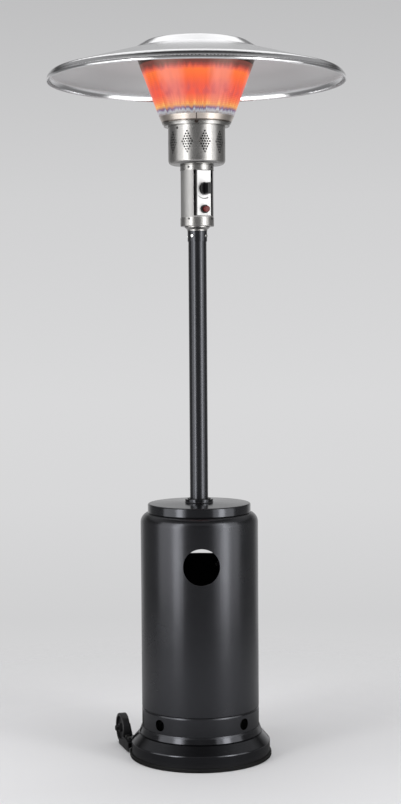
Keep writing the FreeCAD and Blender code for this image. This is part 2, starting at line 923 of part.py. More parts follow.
retainer_outer = d.post_circle - d.post_radius
retainer_sweep = (d.post_front_angle - d.retainer_overhang) * -2 + 360
retainer = turned(
    "tank_retainer",
    [
        (retainer_outer - d.retainer_wall, d.retainer_foot),
        (retainer_outer, d.retainer_foot),
        (retainer_outer, d.retainer_foot + d.retainer_height),
        (retainer_outer - d.retainer_wall, d.retainer_foot + d.retainer_height),
    ],
    place=turn_about_pole(90),
    sweep=retainer_sweep,
)
drilled(
    "tank_retainer",
    retainer,
    [
        (pointing(V(0, 0, retainer_bolt_height.value), outward(angle)), bolt_hole, d.post_circle)
        for angle in post_angles
    ],
)
frame_bolts = [
    frame_bolt(
        pointing(round_pole(d.post_circle.value, angle, carrier_top.value), UP),
        d.carrier_thickness + d.bolt_thread - d.hole_gap,
    )
    for angle in post_angles
]
frame_bolts += [
    frame_bolt(
        pointing(round_pole(d.socket_bolt_circle.value, angle, pole_foot.value), UP),
        d.socket_flange + d.carrier_thickness + d.bolt_head,
    )
    for angle in socket_bolt_angles
]
# A flat bolt head meets the hollow side of the retainer along its edge
retainer_inner = retainer_outer - d.retainer_wall
head_seat = math.sqrt(retainer_inner.value**2 - d.bolt_head_radius.value**2) - d.fit_gap.value
frame_bolts += [
    frame_bolt(
        pointing(round_pole(head_seat, angle, retainer_bolt_height.value), outward(angle) * -1),
        d.retainer_wall + d.post_radius,
    )
    for angle in post_angles
]
grouped("frame_bolts", frame_bolts)

# Bottle housing: a rolled cylinder with a pressed groove, a rounded shoulder and an inward ledge
housing_foot = d.seat_height + d.rest_gap
housing_inner = d.housing_radius - d.housing_wall
groove_mid = housing_foot + d.groove_height
housing = turned(
    "tank_housing",
    [
        (d.housing_radius, housing_foot),
        (d.housing_radius, groove_mid - d.groove_half),
        (d.housing_radius - d.groove_depth, groove_mid),
        (d.housing_radius, groove_mid + d.groove_half),
        (d.housing_radius, ledge_top),
        (d.ledge_bore, ledge_top),
        (d.ledge_bore, ledge_top - d.housing_wall),
        (housing_inner, ledge_top - d.housing_wall),
        (housing_inner, groove_mid + d.groove_half),
        (housing_inner - d.groove_depth, groove_mid),
        (housing_inner, groove_mid - d.groove_half),
        (housing_inner, housing_foot),
    ],
    [
        (d.housing_round, [(d.housing_radius, ledge_top)]),
        (d.housing_round - d.housing_wall, [(housing_inner, ledge_top - d.housing_wall)]),
    ],
    place=HOUSING,
)
hand_hole_height = housing_foot + d.hand_hole_height
vent_height = housing_foot + d.vent_height
housing_holes = []
for radius, height, angles in (
    (d.hand_hole_radius, hand_hole_height, (0, 180)),
    (d.vent_radius, vent_height, (45, 135, 225, 315)),
):
    for angle in angles:
        place = HOUSING.multiply(pointing(V(0, 0, height.value), outward(angle)))
        housing_holes.append((place, radius, d.housing_radius * 2))
drilled("tank_housing", housing, housing_holes)

spigot_radius = d.ledge_bore - d.hole_gap
lid_inner = d.lid_radius - d.lid_wall
collar_foot = lid_top + d.lid_rise
collar_inner = d.lid_collar_radius - d.lid_wall
turned(
    "housing_lid",
    [
        (d.lid_radius, ledge_top),
        (d.lid_radius, lid_top),
        (d.lid_collar_radius, collar_foot),
        (d.lid_collar_radius, collar_top),
        (d.bush_radius, collar_top),
        (d.bush_radius, collar_top - d.lid_wall),
        (collar_inner, collar_top - d.lid_wall),
        (collar_inner, collar_foot - d.lid_wall),
        (lid_inner, lid_top - d.lid_wall),
        (lid_inner, ledge_top + d.lid_wall),
        (spigot_radius - d.lid_wall, ledge_top + d.lid_wall),
        (spigot_radius - d.lid_wall, ledge_top - d.lid_spigot),
        (spigot_radius, ledge_top - d.lid_spigot),
        (spigot_radius, ledge_top),
    ],
    [
        (d.lid_round, [(d.lid_radius, lid_top)]),
        (d.lid_round - d.lid_wall, [(lid_inner, lid_top - d.lid_wall)]),
        (d.lid_collar_round, [(d.lid_collar_radius, collar_foot)]),
    ],
    place=HOUSING,
)
bush_bore = d.pole_radius + d.slide_gap
turned(
    "pole_bush",
    [
        (bush_bore, collar_top - d.bush_length),
        (d.bush_radius, collar_top - d.bush_length),
        (d.bush_radius, collar_top),
        (d.bush_radius + d.bush_lip, collar_top),
        (d.bush_radius + d.bush_lip, collar_top + d.bush_lip_height),
        (bush_bore, collar_top + d.bush_lip_height),
    ],
)

# Pole, its sleeve and the gas pipe with its inlet fitting
sleeve_bolt_height = pole_top - d.sleeve_bolt_drop
head_screw_angles = [d.head_turn.value + d.screw_angle.value + quarter * 90 for quarter in range(4)]
sleeve_bolt_hole = d.sleeve_bolt_radius + d.hole_gap
sleeve_bolt_holes = [
    (pointing(V(0, 0, sleeve_bolt_height.value), outward(angle)), sleeve_bolt_hole, d.neck_flange_radius)
    for angle in head_screw_angles
]
drilled("pole", tube("pole", d.pole_radius, pole_inner, pole_foot, pole_top), sleeve_bolt_holes)
sleeve_bore = d.pole_radius + d.fit_gap
sleeve_radius = sleeve_bore + d.sleeve_wall
sleeve = tube("pole_sleeve", sleeve_radius, sleeve_bore, pole_top - d.sleeve_length, pole_top)
drilled("pole_sleeve", sleeve, sleeve_bolt_holes)

spigot = pole_inner - d.fit_gap
neck_inner = spigot - d.neck_wall
neck = turned(
    "head_neck",
    [
        (neck_inner, pole_top - d.neck_spigot),
        (spigot, pole_top - d.neck_spigot),
        (spigot, pole_top),
        (d.neck_radius, pole_top),
        (d.neck_radius, pole_top + d.neck_collar),
        (d.neck_flange_radius, neck_top - d.neck_flange),
        (d.neck_flange_radius, neck_top),
        (neck_inner, neck_top),
    ],
)
drilled("head_neck", neck, sleeve_bolt_holes)
sleeve_bolt_grip = d.sleeve_wall + d.pole_wall + d.fit_gap * 2 + d.neck_wall
grouped(
    "sleeve_bolts",
    [
        bolt(
            "sleeve_bolt",
            pointing(round_pole(sleeve_radius.value, angle, sleeve_bolt_height.value), outward(angle)),
            sleeve_bolt_grip + d.sleeve_bolt_tail,
            d.sleeve_bolt_head_radius,
            d.sleeve_bolt_head,
            d.sleeve_bolt_radius,
        )
        for angle in head_screw_angles
    ],
)

knob_axis = neck_top + d.knob_height
igniter_axis = neck_top + d.igniter_height
valve_foot = knob_axis - d.valve_half_height
valve_top = knob_axis + d.valve_half_height
inlet_top = carrier_top + d.inlet_rise
pipe_foot = carrier_top
tube("gas_pipe", d.pipe_radius, d.pipe_radius - d.pipe_wall, pipe_foot, valve_foot)
inlet_hex_foot = carrier_height - d.inlet_hex_length
inlet_foot = inlet_hex_foot - d.inlet_reach
inlet_body = spun(
    "inlet_barrel",
    [
        (d.inlet_bore, inlet_foot),
        (d.inlet_radius, inlet_foot),
        (d.inlet_radius, inlet_top),
        (d.pipe_radius, inlet_top),
        (d.pipe_radius, pipe_foot),
        (d.inlet_bore, pipe_foot),
    ],
)
inlet_hex = doc.addObject("Part::Prism", "inlet_hex")
inlet_hex.Polygon = 6
bind(inlet_hex, Circumradius=d.inlet_hex, Height=d.inlet_hex_length)
inlet_hex.Placement = pointing(V(0, 0, inlet_hex_foot.value), UP)
inlet_whole = fused("gas_inlet", [inlet_body, inlet_hex])
inlet_bore_place = pointing(V(0, 0, inlet_foot.value), UP)
drilled("gas_inlet", inlet_whole, [(inlet_bore_place, d.inlet_bore, d.inlet_reach * 2)])

# Control box: base cup, shell with its window, top cup, chassis and dial plate
rim_outer = d.control_radius + d.control_rim_wall
shell_inner = d.control_radius - d.control_wall
shell_top = control_top - d.control_plate
base_screw_height = neck_top + d.base_screw_height
top_screw_height = control_top - d.top_screw_drop
shell_screw_places = [
    pointing(round_pole(rim_outer.value, angle, height.value), outward(angle))
    for height in (base_screw_height, top_screw_height)
    for angle in head_screw_angles
]
shell_screw_holes = [
    (pointing(V(0, 0, height.value), outward(angle)), d.screw_radius + d.hole_gap, d.cup_radius)
    for height in (base_screw_height, top_screw_height)
    for angle in head_screw_angles
]
control_base = turned(
    "control_base",
    [
        (neck_inner, neck_top),
        (rim_outer, neck_top),
        (rim_outer, neck_top + d.control_base_rim),
        (d.control_radius, neck_top + d.control_base_rim),
        (d.control_radius, control_floor),
        (neck_inner, control_floor),
    ],
    [(d.control_plate, [(rim_outer, neck_top)])],
)
drilled("control_base", control_base, shell_screw_holes)

shell = tube("control_shell", d.control_radius, shell_inner, control_floor, shell_top)
window = block(
    "window",
    (d.window_half_width * -1, rim_outer * -1, neck_top + d.window_foot),
    d.window_half_width * 2,
    d.control_radius,
    d.window_height,
    HEAD,
)
screw_cutters = [rod("shell_hole", radius, length, place) for place, radius, length in shell_screw_holes]
cut("control_shell", shell, [window] + screw_cutters)

top_cup = turned(
    "control_top",
    [
        (d.cup_bore, shell_top),
        (d.control_radius, shell_top),
        (d.control_radius, control_top - d.control_top_rim),
        (rim_outer, control_top - d.control_top_rim),
        (rim_outer, control_top),
        (d.cup_bore, control_top),
    ],
)
drilled("control_top", top_cup, shell_screw_holes)
grouped(
    "shell_screws",
    [
        bolt(
            "shell_screw",
            place,
            d.control_rim_wall + d.control_wall + d.screw_grip,
            d.screw_head_radius,
            d.screw_head,
            d.screw_radius,
            sides=0,
        )
        for place in shell_screw_places
    ],
)

panel_back = d.panel_distance - d.panel_wall
panel_face = d.panel_distance + d.dial_thickness
panel_foot = neck_top + d.window_foot + d.panel_margin
panel_height = d.window_height - d.panel_margin * 2
chassis_pieces = [
    block(
        "chassis_plate",
        (d.panel_half_width * -1, d.panel_distance * -1, panel_foot),
        d.panel_half_width * 2,
        d.panel_wall,
        panel_height,
        HEAD,
    )
]
# The plate stands in the window; its sides run from the floor of the box to its top
side_height = shell_top - control_floor
for low_side in (d.panel_half_width * -1, d.panel_half_width - d.panel_wall):
    corner = (low_side, panel_back * -1, control_floor)
    chassis_pieces.append(block("chassis_side", corner, d.panel_wall, d.panel_side, side_height, HEAD))
panel_holes = [
    (on_panel(knob_axis.value), d.valve_boss_radius + d.hole_gap, d.control_radius),
    (on_panel(igniter_axis.value), d.igniter_radius + d.hole_gap, d.control_radius),
]
drilled("control_chassis", fused("control_chassis", chassis_pieces), panel_holes)

dial = block(
    "dial_plate",
    (d.dial_half_width * -1, panel_face * -1, panel_foot),
    d.dial_half_width * 2,
    d.dial_thickness,
    panel_height,
    HEAD,
)
drilled("dial_plate", dial, panel_holes)

# Gas valve with its plunger, spindle and knob
spindle_bore = d.spindle_radius + d.running_gap
bore_end = d.spindle_inner - d.plunger_length - d.knob_push - d.valve_bore_relief
valve_block = block(
    "valve_block",
    (d.valve_half_width * -1, panel_back * -1, valve_foot),
    d.valve_half_width * 2,
    panel_back + d.valve_back,
    d.valve_half_height * 2,
    HEAD,
)
boss_place = on_panel(knob_axis.value).multiply(pointing(V(0, 0, panel_back.value), UP))
valve_pieces = [
    valve_block,
    rod("valve_boss", d.valve_boss_radius, d.valve_boss_length, boss_place),
    rod("valve_inlet", d.valve_port_radius, d.valve_port, pointing(V(0, 0, valve_foot.value), V(0, 0, -1))),
    rod("valve_outlet", d.valve_port_radius, d.valve_port, pointing(V(0, 0, valve_top.value), UP)),
]
bore_place = on_panel(knob_axis.value).multiply(pointing(V(0, 0, bore_end.value), UP))
drilled(
    "gas_valve",
    fused("gas_valve", valve_pieces),
    [
        (bore_place, spindle_bore, d.control_radius),
        (pointing(V(0, 0, valve_foot.value), V(0, 0, -1)), d.pipe_radius, d.valve_port),
    ],
)
plunger_foot = d.spindle_inner - d.plunger_length
plunger_place = on_panel(knob_axis.value).multiply(pointing(V(0, 0, plunger_foot.value), UP))
named("valve_plunger", rod("plunger", d.spindle_radius, d.plunger_length - d.plunger_gap, plunger_place))

knob_back = panel_face + d.knob_gap
knob_front = knob_back + d.knob_skirt
spindle_end = knob_front - d.knob_face
spindle_place = on_panel(knob_axis.value).multiply(pointing(V(0, 0, d.spindle_inner.value), UP))
spindle = rod("spindle", d.spindle_radius, spindle_end - d.spindle_inner, spindle_place)
flat = block(
    "spindle_flat",
    (d.spindle_radius * -1, d.spindle_flat, knob_back + d.knob_recess),
    d.spindle_radius * 2,
    d.spindle_radius,
    d.knob_skirt,
    on_panel(knob_axis.value),
)
cut("valve_spindle", spindle, [flat])

knob_top_radius = d.knob_radius - d.knob_taper
knob_disc = spun(
    "knob_disc",
    [
        (d.spindle_radius, knob_back + d.knob_recess),
        (d.knob_recess_radius, knob_back + d.knob_recess),
        (d.knob_recess_radius, knob_back),
        (d.knob_radius, knob_back),
        (knob_top_radius, knob_front),
        (0, knob_front),
        (0, spindle_end),
        (d.spindle_radius, spindle_end),
    ],
    [(d.knob_round, [(knob_top_radius, knob_front)])],
    place=on_panel(knob_axis.value),
)
grip_bar = block(
    "knob_grip_bar",
    (d.knob_grip_width / -2, knob_top_radius * -1, knob_front - d.knob_face),
    d.knob_grip_width,
    knob_top_radius * 2,
    d.knob_grip + d.knob_face,
    on_panel(knob_axis.value),
)
grip_round = rod(
    "knob_grip_round",
    knob_top_radius - d.knob_round,
    d.knob_grip + d.knob_face,
    on_panel(knob_axis.value).multiply(pointing(V(0, 0, spindle_end.value), UP)),
)
grip = doc.addObject("Part::Common", "knob_grip")
grip.Base = grip_bar
grip.Tool = grip_round
pointer = block(
    "knob_pointer",
    (d.pointer_width / -2, 0, knob_front + d.knob_grip - d.pointer_depth),
    d.pointer_width,
    d.knob_radius,
    d.pointer_depth * 2,
    on_panel(knob_axis.value),
)
cut("control_knob", fused("control_knob", [knob_disc, grip]), [pointer])

# Igniter: barrel behind the panel, bezel nut in front, push button inside
button_bore = d.button_radius + d.button_clearance
barrel_front = panel_face + d.igniter_thread
shoulder_foot = panel_back - d.igniter_shoulder_length
shoulder_radius = d.igniter_radius + d.igniter_shoulder
bore_floor = panel_face - d.button_depth - d.button_push - d.button_relief
turned(
    "igniter_barrel",
    [
        (0, d.igniter_inner),
        (d.igniter_radius, d.igniter_inner),
        (d.igniter_radius, shoulder_foot),
        (shoulder_radius, shoulder_foot),
        (shoulder_radius, panel_back),
        (d.igniter_radius, panel_back),
        (d.igniter_radius, barrel_front),
        (button_bore, barrel_front),
        (button_bore, bore_floor),
        (0, bore_floor),
    ],
    place=on_panel(igniter_axis.value),
)
bezel_front = panel_face + d.bezel_length
turned(
    "igniter_bezel",
    [
        (d.igniter_radius, panel_face),
        (d.bezel_radius, panel_face),
        (d.bezel_radius, bezel_front),
        (button_bore, bezel_front),
        (button_bore, barrel_front),
        (d.igniter_radius, barrel_front),
    ],
    [(d.bezel_round, [(d.bezel_radius, bezel_front)])],
    place=on_panel(igniter_axis.value),
)
turned(
    "igniter_button",
    [
        (0, panel_face - d.button_depth),
        (d.button_radius, panel_face - d.button_depth),
        (d.button_radius, panel_face + d.button_reach),
        (0, panel_face + d.button_reach),
    ],
    [(d.button_dome, [(d.button_radius, panel_face + d.button_reach)])],
    place=on_panel(igniter_axis.value),
)
named(
    "tilt_switch",
    block(
        "tilt_switch",
        (d.tilt_width / -2, panel_back * -1, control_floor),
        d.tilt_width,
        d.tilt_depth,
        d.tilt_height,
        HEAD,
    ),
)

# Burner cup with its diamond groups of air holes
cup_inner = d.cup_radius - d.cup_wall
cup_floor = control_top + d.cup_wall
cup = turned(
    "burner_cup",
    [
        (d.cup_bore, control_top),
        (d.cup_radius, control_top),
        (d.cup_radius, cup_top),
        (cup_inner, cup_top),
        (cup_inner, cup_floor),
        (d.cup_bore, cup_floor),
    ],
    [
        (d.cup_round, [(d.cup_radius, control_top)]),
        (d.cup_round - d.cup_wall, [(cup_inner, cup_floor)]),
    ],
    place=turn_about_pole(d.cup_turn.value),
)
doc.recompute()
air_sketch = sketch_on(cup, "XZ_Plane", "air_holes")
rows = int(d.air_group_rows.value)
group_mid = control_top + d.air_group_height
for up in range(rows):
    for over in range(rows):
        # A square of holes standing on its corner: the two counts run along its two lower sides
        side_steps = (up - over) / 2
        rise_steps = up + over - (rows - 1)
        across = d.air_hole_pitch.value * side_steps
        along = group_mid + d.air_hole_rise * rise_steps
        hole = air_sketch.addGeometry(Part.Circle(V(across, along.value, 0), UP, d.air_hole_radius.value))
        bore = air_sketch.addConstraint(Sketcher.Constraint("Radius", hole, d.air_hole_radius.value))
        air_sketch.setExpression(f"Constraints[{bore}]", f"{d.air_hole_radius.text} * 1 mm")
        place_point(air_sketch, hole, 3, d.air_hole_pitch * side_steps if side_steps else 0, along)
air_group = cup.newObject("PartDesign::Pocket", "air_group")
air_group.Profile = air_sketch
air_group.Reversed = True
bind(air_group, Length=d.cup_radius * 2)
doc.recompute()
air_groups = cup.newObject("PartDesign::PolarPattern", "air_groups")
air_groups.Originals = [air_group]
air_groups.Axis = (air_sketch, ["V_Axis"])
air_groups.Angle = 360
air_groups.Occurrences = int(d.air_group_count.value)
cup.Tip = air_groups
sight_height = cup_top - d.sight_hole_drop
sight_place = pointing(V(0, 0, sight_height.value), outward(d.pilot_angle.value))
drilled("burner_cup", cup, [(sight_place, d.sight_hole_radius, d.cup_radius * 2)])

# Burner: injector, mixing tube, burner head, pilot, thermocouple and spark electrode
injector_foot = valve_top + d.valve_port
injector_top = injector_foot + d.injector_length
injector = doc.addObject("Part::Prism", "injector")
injector.Polygon = 6
bind(injector, Circumradius=d.injector_radius, Height=d.injector_length)
injector.Placement = pointing(V(0, 0, injector_foot.value), UP)
named("gas_injector", injector)

burner_top = cup_top - d.burner_drop
burner_foot = burner_top - d.burner_depth
throat_outer = d.mixer_throat + d.mixer_wall
mixer_inner = d.mixer_radius - d.mixer_wall
mixer_foot = injector_top - d.mixer_dip
mixer_flange_top = cup_floor + d.mixer_wall
throat_top = mixer_flange_top + d.mixer_throat_length
turned(
    "mixing_tube",
    [
        (mixer_inner, mixer_foot),
        (d.mixer_radius, mixer_foot),
        (throat_outer, cup_floor),
        (d.mixer_flange_radius, cup_floor),
        (d.mixer_flange_radius, mixer_flange_top),
        (throat_outer, mixer_flange_top),
        (throat_outer, throat_top),
        (d.mixer_radius, burner_foot),
        (mixer_inner, burner_foot),
        (d.mixer_throat, throat_top),
        (d.mixer_throat, cup_floor),
    ],
)
head_pan = turned(
    "burner_head",
    [
        (mixer_inner, burner_foot),
        (d.burner_radius, burner_foot),
        (d.burner_radius, burner_top),
        (0, burner_top),
        (0, burner_top - d.burner_wall),
        (d.burner_radius - d.burner_wall, burner_top - d.burner_wall),
        (d.burner_radius - d.burner_wall, burner_foot + d.burner_wall),
        (mixer_inner, burner_foot + d.burner_wall),
    ],
)
port_count = int(d.burner_port_count.value)
port_foot = burner_top - d.burner_depth / 2
port_spots = [
    round_pole(d.burner_port_circle.value, index * 360 / port_count, port_foot.value)
    for index in range(port_count)
]
port_holes = [(pointing(spot, UP), d.burner_port_radius, d.burner_depth) for spot in port_spots]
drilled("burner_head", head_pan, port_holes)

spread = math.degrees(d.probe_spread.value / d.pilot_circle.value)
for node, angle, radius, length in (
    ("pilot_burner", d.pilot_angle.value, d.pilot_radius, d.pilot_length),
    ("thermocouple", d.pilot_angle.value - spread, d.probe_radius, d.probe_length),
    ("spark_electrode", d.pilot_angle.value + spread, d.probe_radius, d.probe_length),
):
    spot = round_pole(d.pilot_circle.value, angle, cup_floor.value)
    named(node, rod(node, radius, length, pointing(spot, UP)))

# Emitter: flange, lower band with its lapped seam, screen, top ring and cap
flange_spigot = cup_inner - d.fit_gap
flange_bore = flange_spigot - d.flange_wall
turned(
    "emitter_flange",
    [
        (flange_bore, cup_top - d.flange_spigot),
        (flange_spigot, cup_top - d.flange_spigot),
        (flange_spigot, cup_top),
        (d.flange_radius, cup_top),
        (d.flange_radius, band_foot - d.flange_wall),
        (d.flange_lip, band_foot - d.flange_wall),
        (d.flange_lip, band_foot),
        (d.flange_radius - d.flange_wall, band_foot),
        (d.flange_radius - d.flange_wall, cup_top + d.flange_wall),
        (flange_bore, cup_top + d.flange_wall),
    ],
)
band = spun(
    "band_hoop",
    [
        (d.flange_lip - d.emitter_wall, band_foot),
        (d.flange_lip, band_foot),
        (d.band_top_radius, screen_foot),
        (d.band_top_radius - d.emitter_wall, screen_foot),
    ],
)
seam = spun(
    "band_seam",
    [
        (d.flange_lip, band_foot - d.seam_tab),
        (d.flange_lip + d.emitter_wall, band_foot - d.seam_tab),
        (d.flange_lip + d.emitter_wall, band_foot),
        (d.band_top_radius + d.emitter_wall, screen_foot),
        (d.band_top_radius, screen_foot),
        (d.flange_lip, band_foot),
    ],
    place=turn_about_pole(d.band_turn.value - 90),
    sweep=d.seam_sweep,
)
fused("emitter_band", [band, seam])
turned(
    "emitter_screen",
    [
        (d.band_top_radius - d.emitter_wall, screen_foot),
        (d.band_top_radius, screen_foot),
        (d.screen_top_radius, ring_foot),
        (d.screen_top_radius - d.emitter_wall, ring_foot),
    ],
)
ring_flange_inner = d.ring_top_radius - d.ring_flange
turned(
    "emitter_top_ring",
    [
        (d.screen_top_radius - d.emitter_wall, ring_foot),
        (d.screen_top_radius, ring_foot),
        (d.ring_top_radius, cap_seat),
        (ring_flange_inner, cap_seat),
        (ring_flange_inner, cap_seat - d.emitter_wall),
        (d.ring_top_radius - d.emitter_wall * 2, cap_seat - d.emitter_wall),
    ],
)
cap_rim = d.ring_top_radius - d.ring_flange / 2
cap = turned(
    "emitter_cap",
    [
        (cap_rim, cap_seat),
        (d.ring_top_radius, cap_seat),
        (d.ring_top_radius, cap_seat + d.emitter_wall),
        (cap_rim, cap_seat + d.emitter_wall),
        (d.cap_flat_radius, cap_top),
        (0, cap_top),
        (0, cap_top - d.emitter_wall),
        (d.cap_flat_radius, cap_top - d.emitter_wall),
    ],
)
stud_angles = [
    d.head_turn.value + d.stud_turn.value + index * 360 / d.stud_count.value
    for index in range(int(d.stud_count.value))
]
stud_feet = [round_pole(d.stud_circle.value, angle, 0) for angle in stud_angles]
dome_under = cap_top + d.dome_gap
dome_top = dome_under + d.reflector_wall
flank_height = dome_top - d.dome_step
drilled("emitter_cap", cap, [(pointing(foot, UP), d.stud_radius, dome_top) for foot in stud_feet])

# Reflector: a spun dish with a rolled rim, a creased skirt and a raised middle
rim_inner_radius = d.rim_radius - d.reflector_wall
rim_lip = d.hem_height + d.rim_round * d.rim_lip_share
skirt_rise = (d.rim_radius - d.crease_radius) * d.skirt_slope
rim_height = flank_height - d.flank_step - skirt_rise - rim_lip
rim_corner = rim_height + rim_lip
crease_height = rim_corner + skirt_rise
hem_top = rim_height + d.hem_height
dish = turned(
    "reflector",
    [
        (d.rim_radius, rim_height),
        (d.rim_radius, rim_corner),
        (d.crease_radius, crease_height),
        (d.flank_radius, flank_height),
        (d.dome_flat_radius, dome_top),
        (0, dome_top),
        (0, dome_under),
        (d.dome_flat_radius, dome_under),
        (d.flank_radius, flank_height - d.reflector_wall),
        (d.crease_radius, crease_height - d.reflector_wall),
        (rim_inner_radius, rim_corner - d.reflector_wall),
        (rim_inner_radius, hem_top),
        (d.rim_radius - d.hem_wall, hem_top),
        (d.rim_radius - d.hem_wall, rim_height),
    ],
    [
        (d.rim_round, [(d.rim_radius, rim_corner)]),
        (d.rim_round - d.reflector_wall, [(rim_inner_radius, rim_corner - d.reflector_wall)]),
        (d.crease_round, [(d.crease_radius, crease_height)]),
        (d.crease_round + d.reflector_wall, [(d.crease_radius, crease_height - d.reflector_wall)]),
        (d.flank_round, [(d.flank_radius, flank_height)]),
        (d.flank_round - d.reflector_wall, [(d.flank_radius, flank_height - d.reflector_wall)]),
    ],
)
drilled(
    "reflector",
    dish,
    [(pointing(foot, UP), d.stud_radius + d.hole_gap, dome_top + d.stud_tail) for foot in stud_feet],
)
studs = []
nuts = []
stud_foot = cap_top - d.stud_foot
stud_top = dome_top + d.stud_nut_height + d.stud_tail
for foot in stud_feet:
    shoulder = rod(
        "stud_shoulder",
        d.stud_shoulder_radius,
        dome_under - cap_top,
        pointing(foot + V(0, 0, cap_top.value), UP),
    )
    shank_place = pointing(foot + V(0, 0, stud_foot.value), UP)
    shank = rod("stud_shank", d.stud_radius, stud_top - stud_foot, shank_place)
    stud = doc.addObject("Part::MultiFuse", "stud")
    stud.Shapes = [shoulder, shank]
    studs.append(stud)
    seat = pointing(foot + V(0, 0, dome_top.value), UP)
    hex_blank = doc.addObject("Part::Prism", "stud_nut_hex")
    hex_blank.Polygon = 6
    bind(hex_blank, Circumradius=d.stud_nut_radius, Height=d.stud_nut_height)
    hex_blank.Placement = seat
    nut = doc.addObject("Part::Cut", "stud_nut")
    nut.Base = hex_blank
    nut.Tool = rod("stud_nut_bore", d.stud_radius, d.stud_nut_height, seat)
    nuts.append(nut)
grouped("reflector_studs", studs)
grouped("reflector_nuts", nuts)

doc.recompute()
os.makedirs("parts", exist_ok=True)
for item in doc.Objects:
    if "Invalid" in item.State or "Error" in item.State:
        raise RuntimeError(f"{item.Name} did not build: {item.State}")
for node, item in nodes.items():
    if item.Shape.isNull() or not item.Shape.isValid() or not item.Shape.Solids:
        raise RuntimeError(f"{node} has no valid solid")
    item.Shape.exportStep(f"parts/{node}.step")
print(f"{len(nodes)} pieces written")
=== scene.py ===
import json
import math
from collections import namedtuple

import bmesh
import bpy
from mathutils import Matrix, Vector


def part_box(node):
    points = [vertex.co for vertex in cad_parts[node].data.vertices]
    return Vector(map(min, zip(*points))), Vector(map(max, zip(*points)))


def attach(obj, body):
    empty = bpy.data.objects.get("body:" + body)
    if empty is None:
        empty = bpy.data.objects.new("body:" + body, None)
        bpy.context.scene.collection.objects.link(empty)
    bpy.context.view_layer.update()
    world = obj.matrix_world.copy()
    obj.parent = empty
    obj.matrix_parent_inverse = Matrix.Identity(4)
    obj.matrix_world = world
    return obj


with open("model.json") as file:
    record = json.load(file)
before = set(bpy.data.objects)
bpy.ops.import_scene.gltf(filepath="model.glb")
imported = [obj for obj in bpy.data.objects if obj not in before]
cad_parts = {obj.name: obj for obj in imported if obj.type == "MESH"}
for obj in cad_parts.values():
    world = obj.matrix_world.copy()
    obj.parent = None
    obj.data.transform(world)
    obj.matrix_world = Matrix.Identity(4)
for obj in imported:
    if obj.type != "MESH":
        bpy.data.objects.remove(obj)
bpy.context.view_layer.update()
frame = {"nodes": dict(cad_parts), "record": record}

# Metres and radians. +Z is up, the front is -Y, and angles round the pole count from the front towards +X.
SCREEN_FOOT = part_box("emitter_screen")[0].z
SCREEN_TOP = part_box("emitter_screen")[1].z
RIM_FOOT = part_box("reflector")[0].z
KNOB_LOW, KNOB_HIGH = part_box("control_knob")
KNOB_AXIS = (KNOB_LOW.z + KNOB_HIGH.z) / 2
HEAD_TURN = math.radians(11.0)
DIAL_FACE = 0.046

# Powder coat
DUST_TOP = 0.03
DUST_SHARE = 0.15
GLOSSY_BASE_TOP = 0.094
BASE_POLISH = 0.10
PAN_FLOOR_RADIUS = 0.186
FACING_IN = -0.05
MATT = 0.8

# Spun metal: fine lines round the pole
LINE_STRETCH = 0.35
LINE_DEPTH = 0.00003
LINE_GLOSS = 0.75

# Reflector: the rolled bead along its rim, how far a face looks down to count as inside, the distances
# from the pole where painted light from the glowing screen brightens the inside, and how the inside is
# duller
RIM_BEAD = 0.012
INSIDE_SPAN = (-0.6, -0.8)
GLOW_LIGHT_SPAN = (0.34, 0.16)
INSIDE_METALLIC = 0.45
INSIDE_ROUGHER = 0.34

# Holes of the burner cup
CUP_TURN = math.radians(-1.5)
AIR_GROUP_TURN = math.radians(36.0)
AIR_GROUP_LIFT = 0.067
AIR_GROUP_LAST = 4
AIR_PITCH = 0.00805
AIR_RISE = 0.008
AIR_HOLE = 0.0023
SIGHT_HOLE = 0.0032
SIGHT_TURN = math.radians(-60.0)
SIGHT_DROP = 0.010
HOLE_EDGE = 0.0004
# Painted shade round a hole reaches this far from its middle
HOLE_SHADE_REACH = 0.0011

# Glowing screen, with spans as shares of its height, and the band below it
LICK_HEIGHT = 0.17
LICK_SPAN = (0.30, 0.10)
SCORCH_HEIGHT = 0.16
SCORCH_SPAN = (0.62, 0.86)
BLOT_SPAN = (0.26, 0.38, 0.48, 0.66)
BLOT_SHARE = 0.55
TIP_SPAN = (0.10, 0.15, 0.17, 0.26)
TIP_SHARE = 0.6
STREAK_SPAN = (0.0, 0.35)
HOT_SPOTS = 6.0
HOT_SPOT_TURN = math.radians(-18.0)
SCREEN_HOLES_ROUND = 150
SCREEN_ROW_PITCH = 0.0052
SCREEN_HOLE_EDGE = (0.32, 0.24)
SCREEN_HOLE_DEPTH = 0.0004
SCREEN_HOLE_SHADE = 0.45
SEAM_TURN = math.radians(-18.0)
SEAM_DARK = 0.009
SEAM_FADE = 0.018
# Painted shade along the band's foot, where it meets the flange; the share darkens the seam as well
FOOT_SHADE_DARK = 0.003
FOOT_SHADE_FADE = 0.006
SEAM_AND_SHADE_SHARE = 0.85

# Noise seldom leaves this range
NOISE_LOW = 0.3
NOISE_HIGH = 0.7

Spot = namedtuple("Spot", "angle distance height")


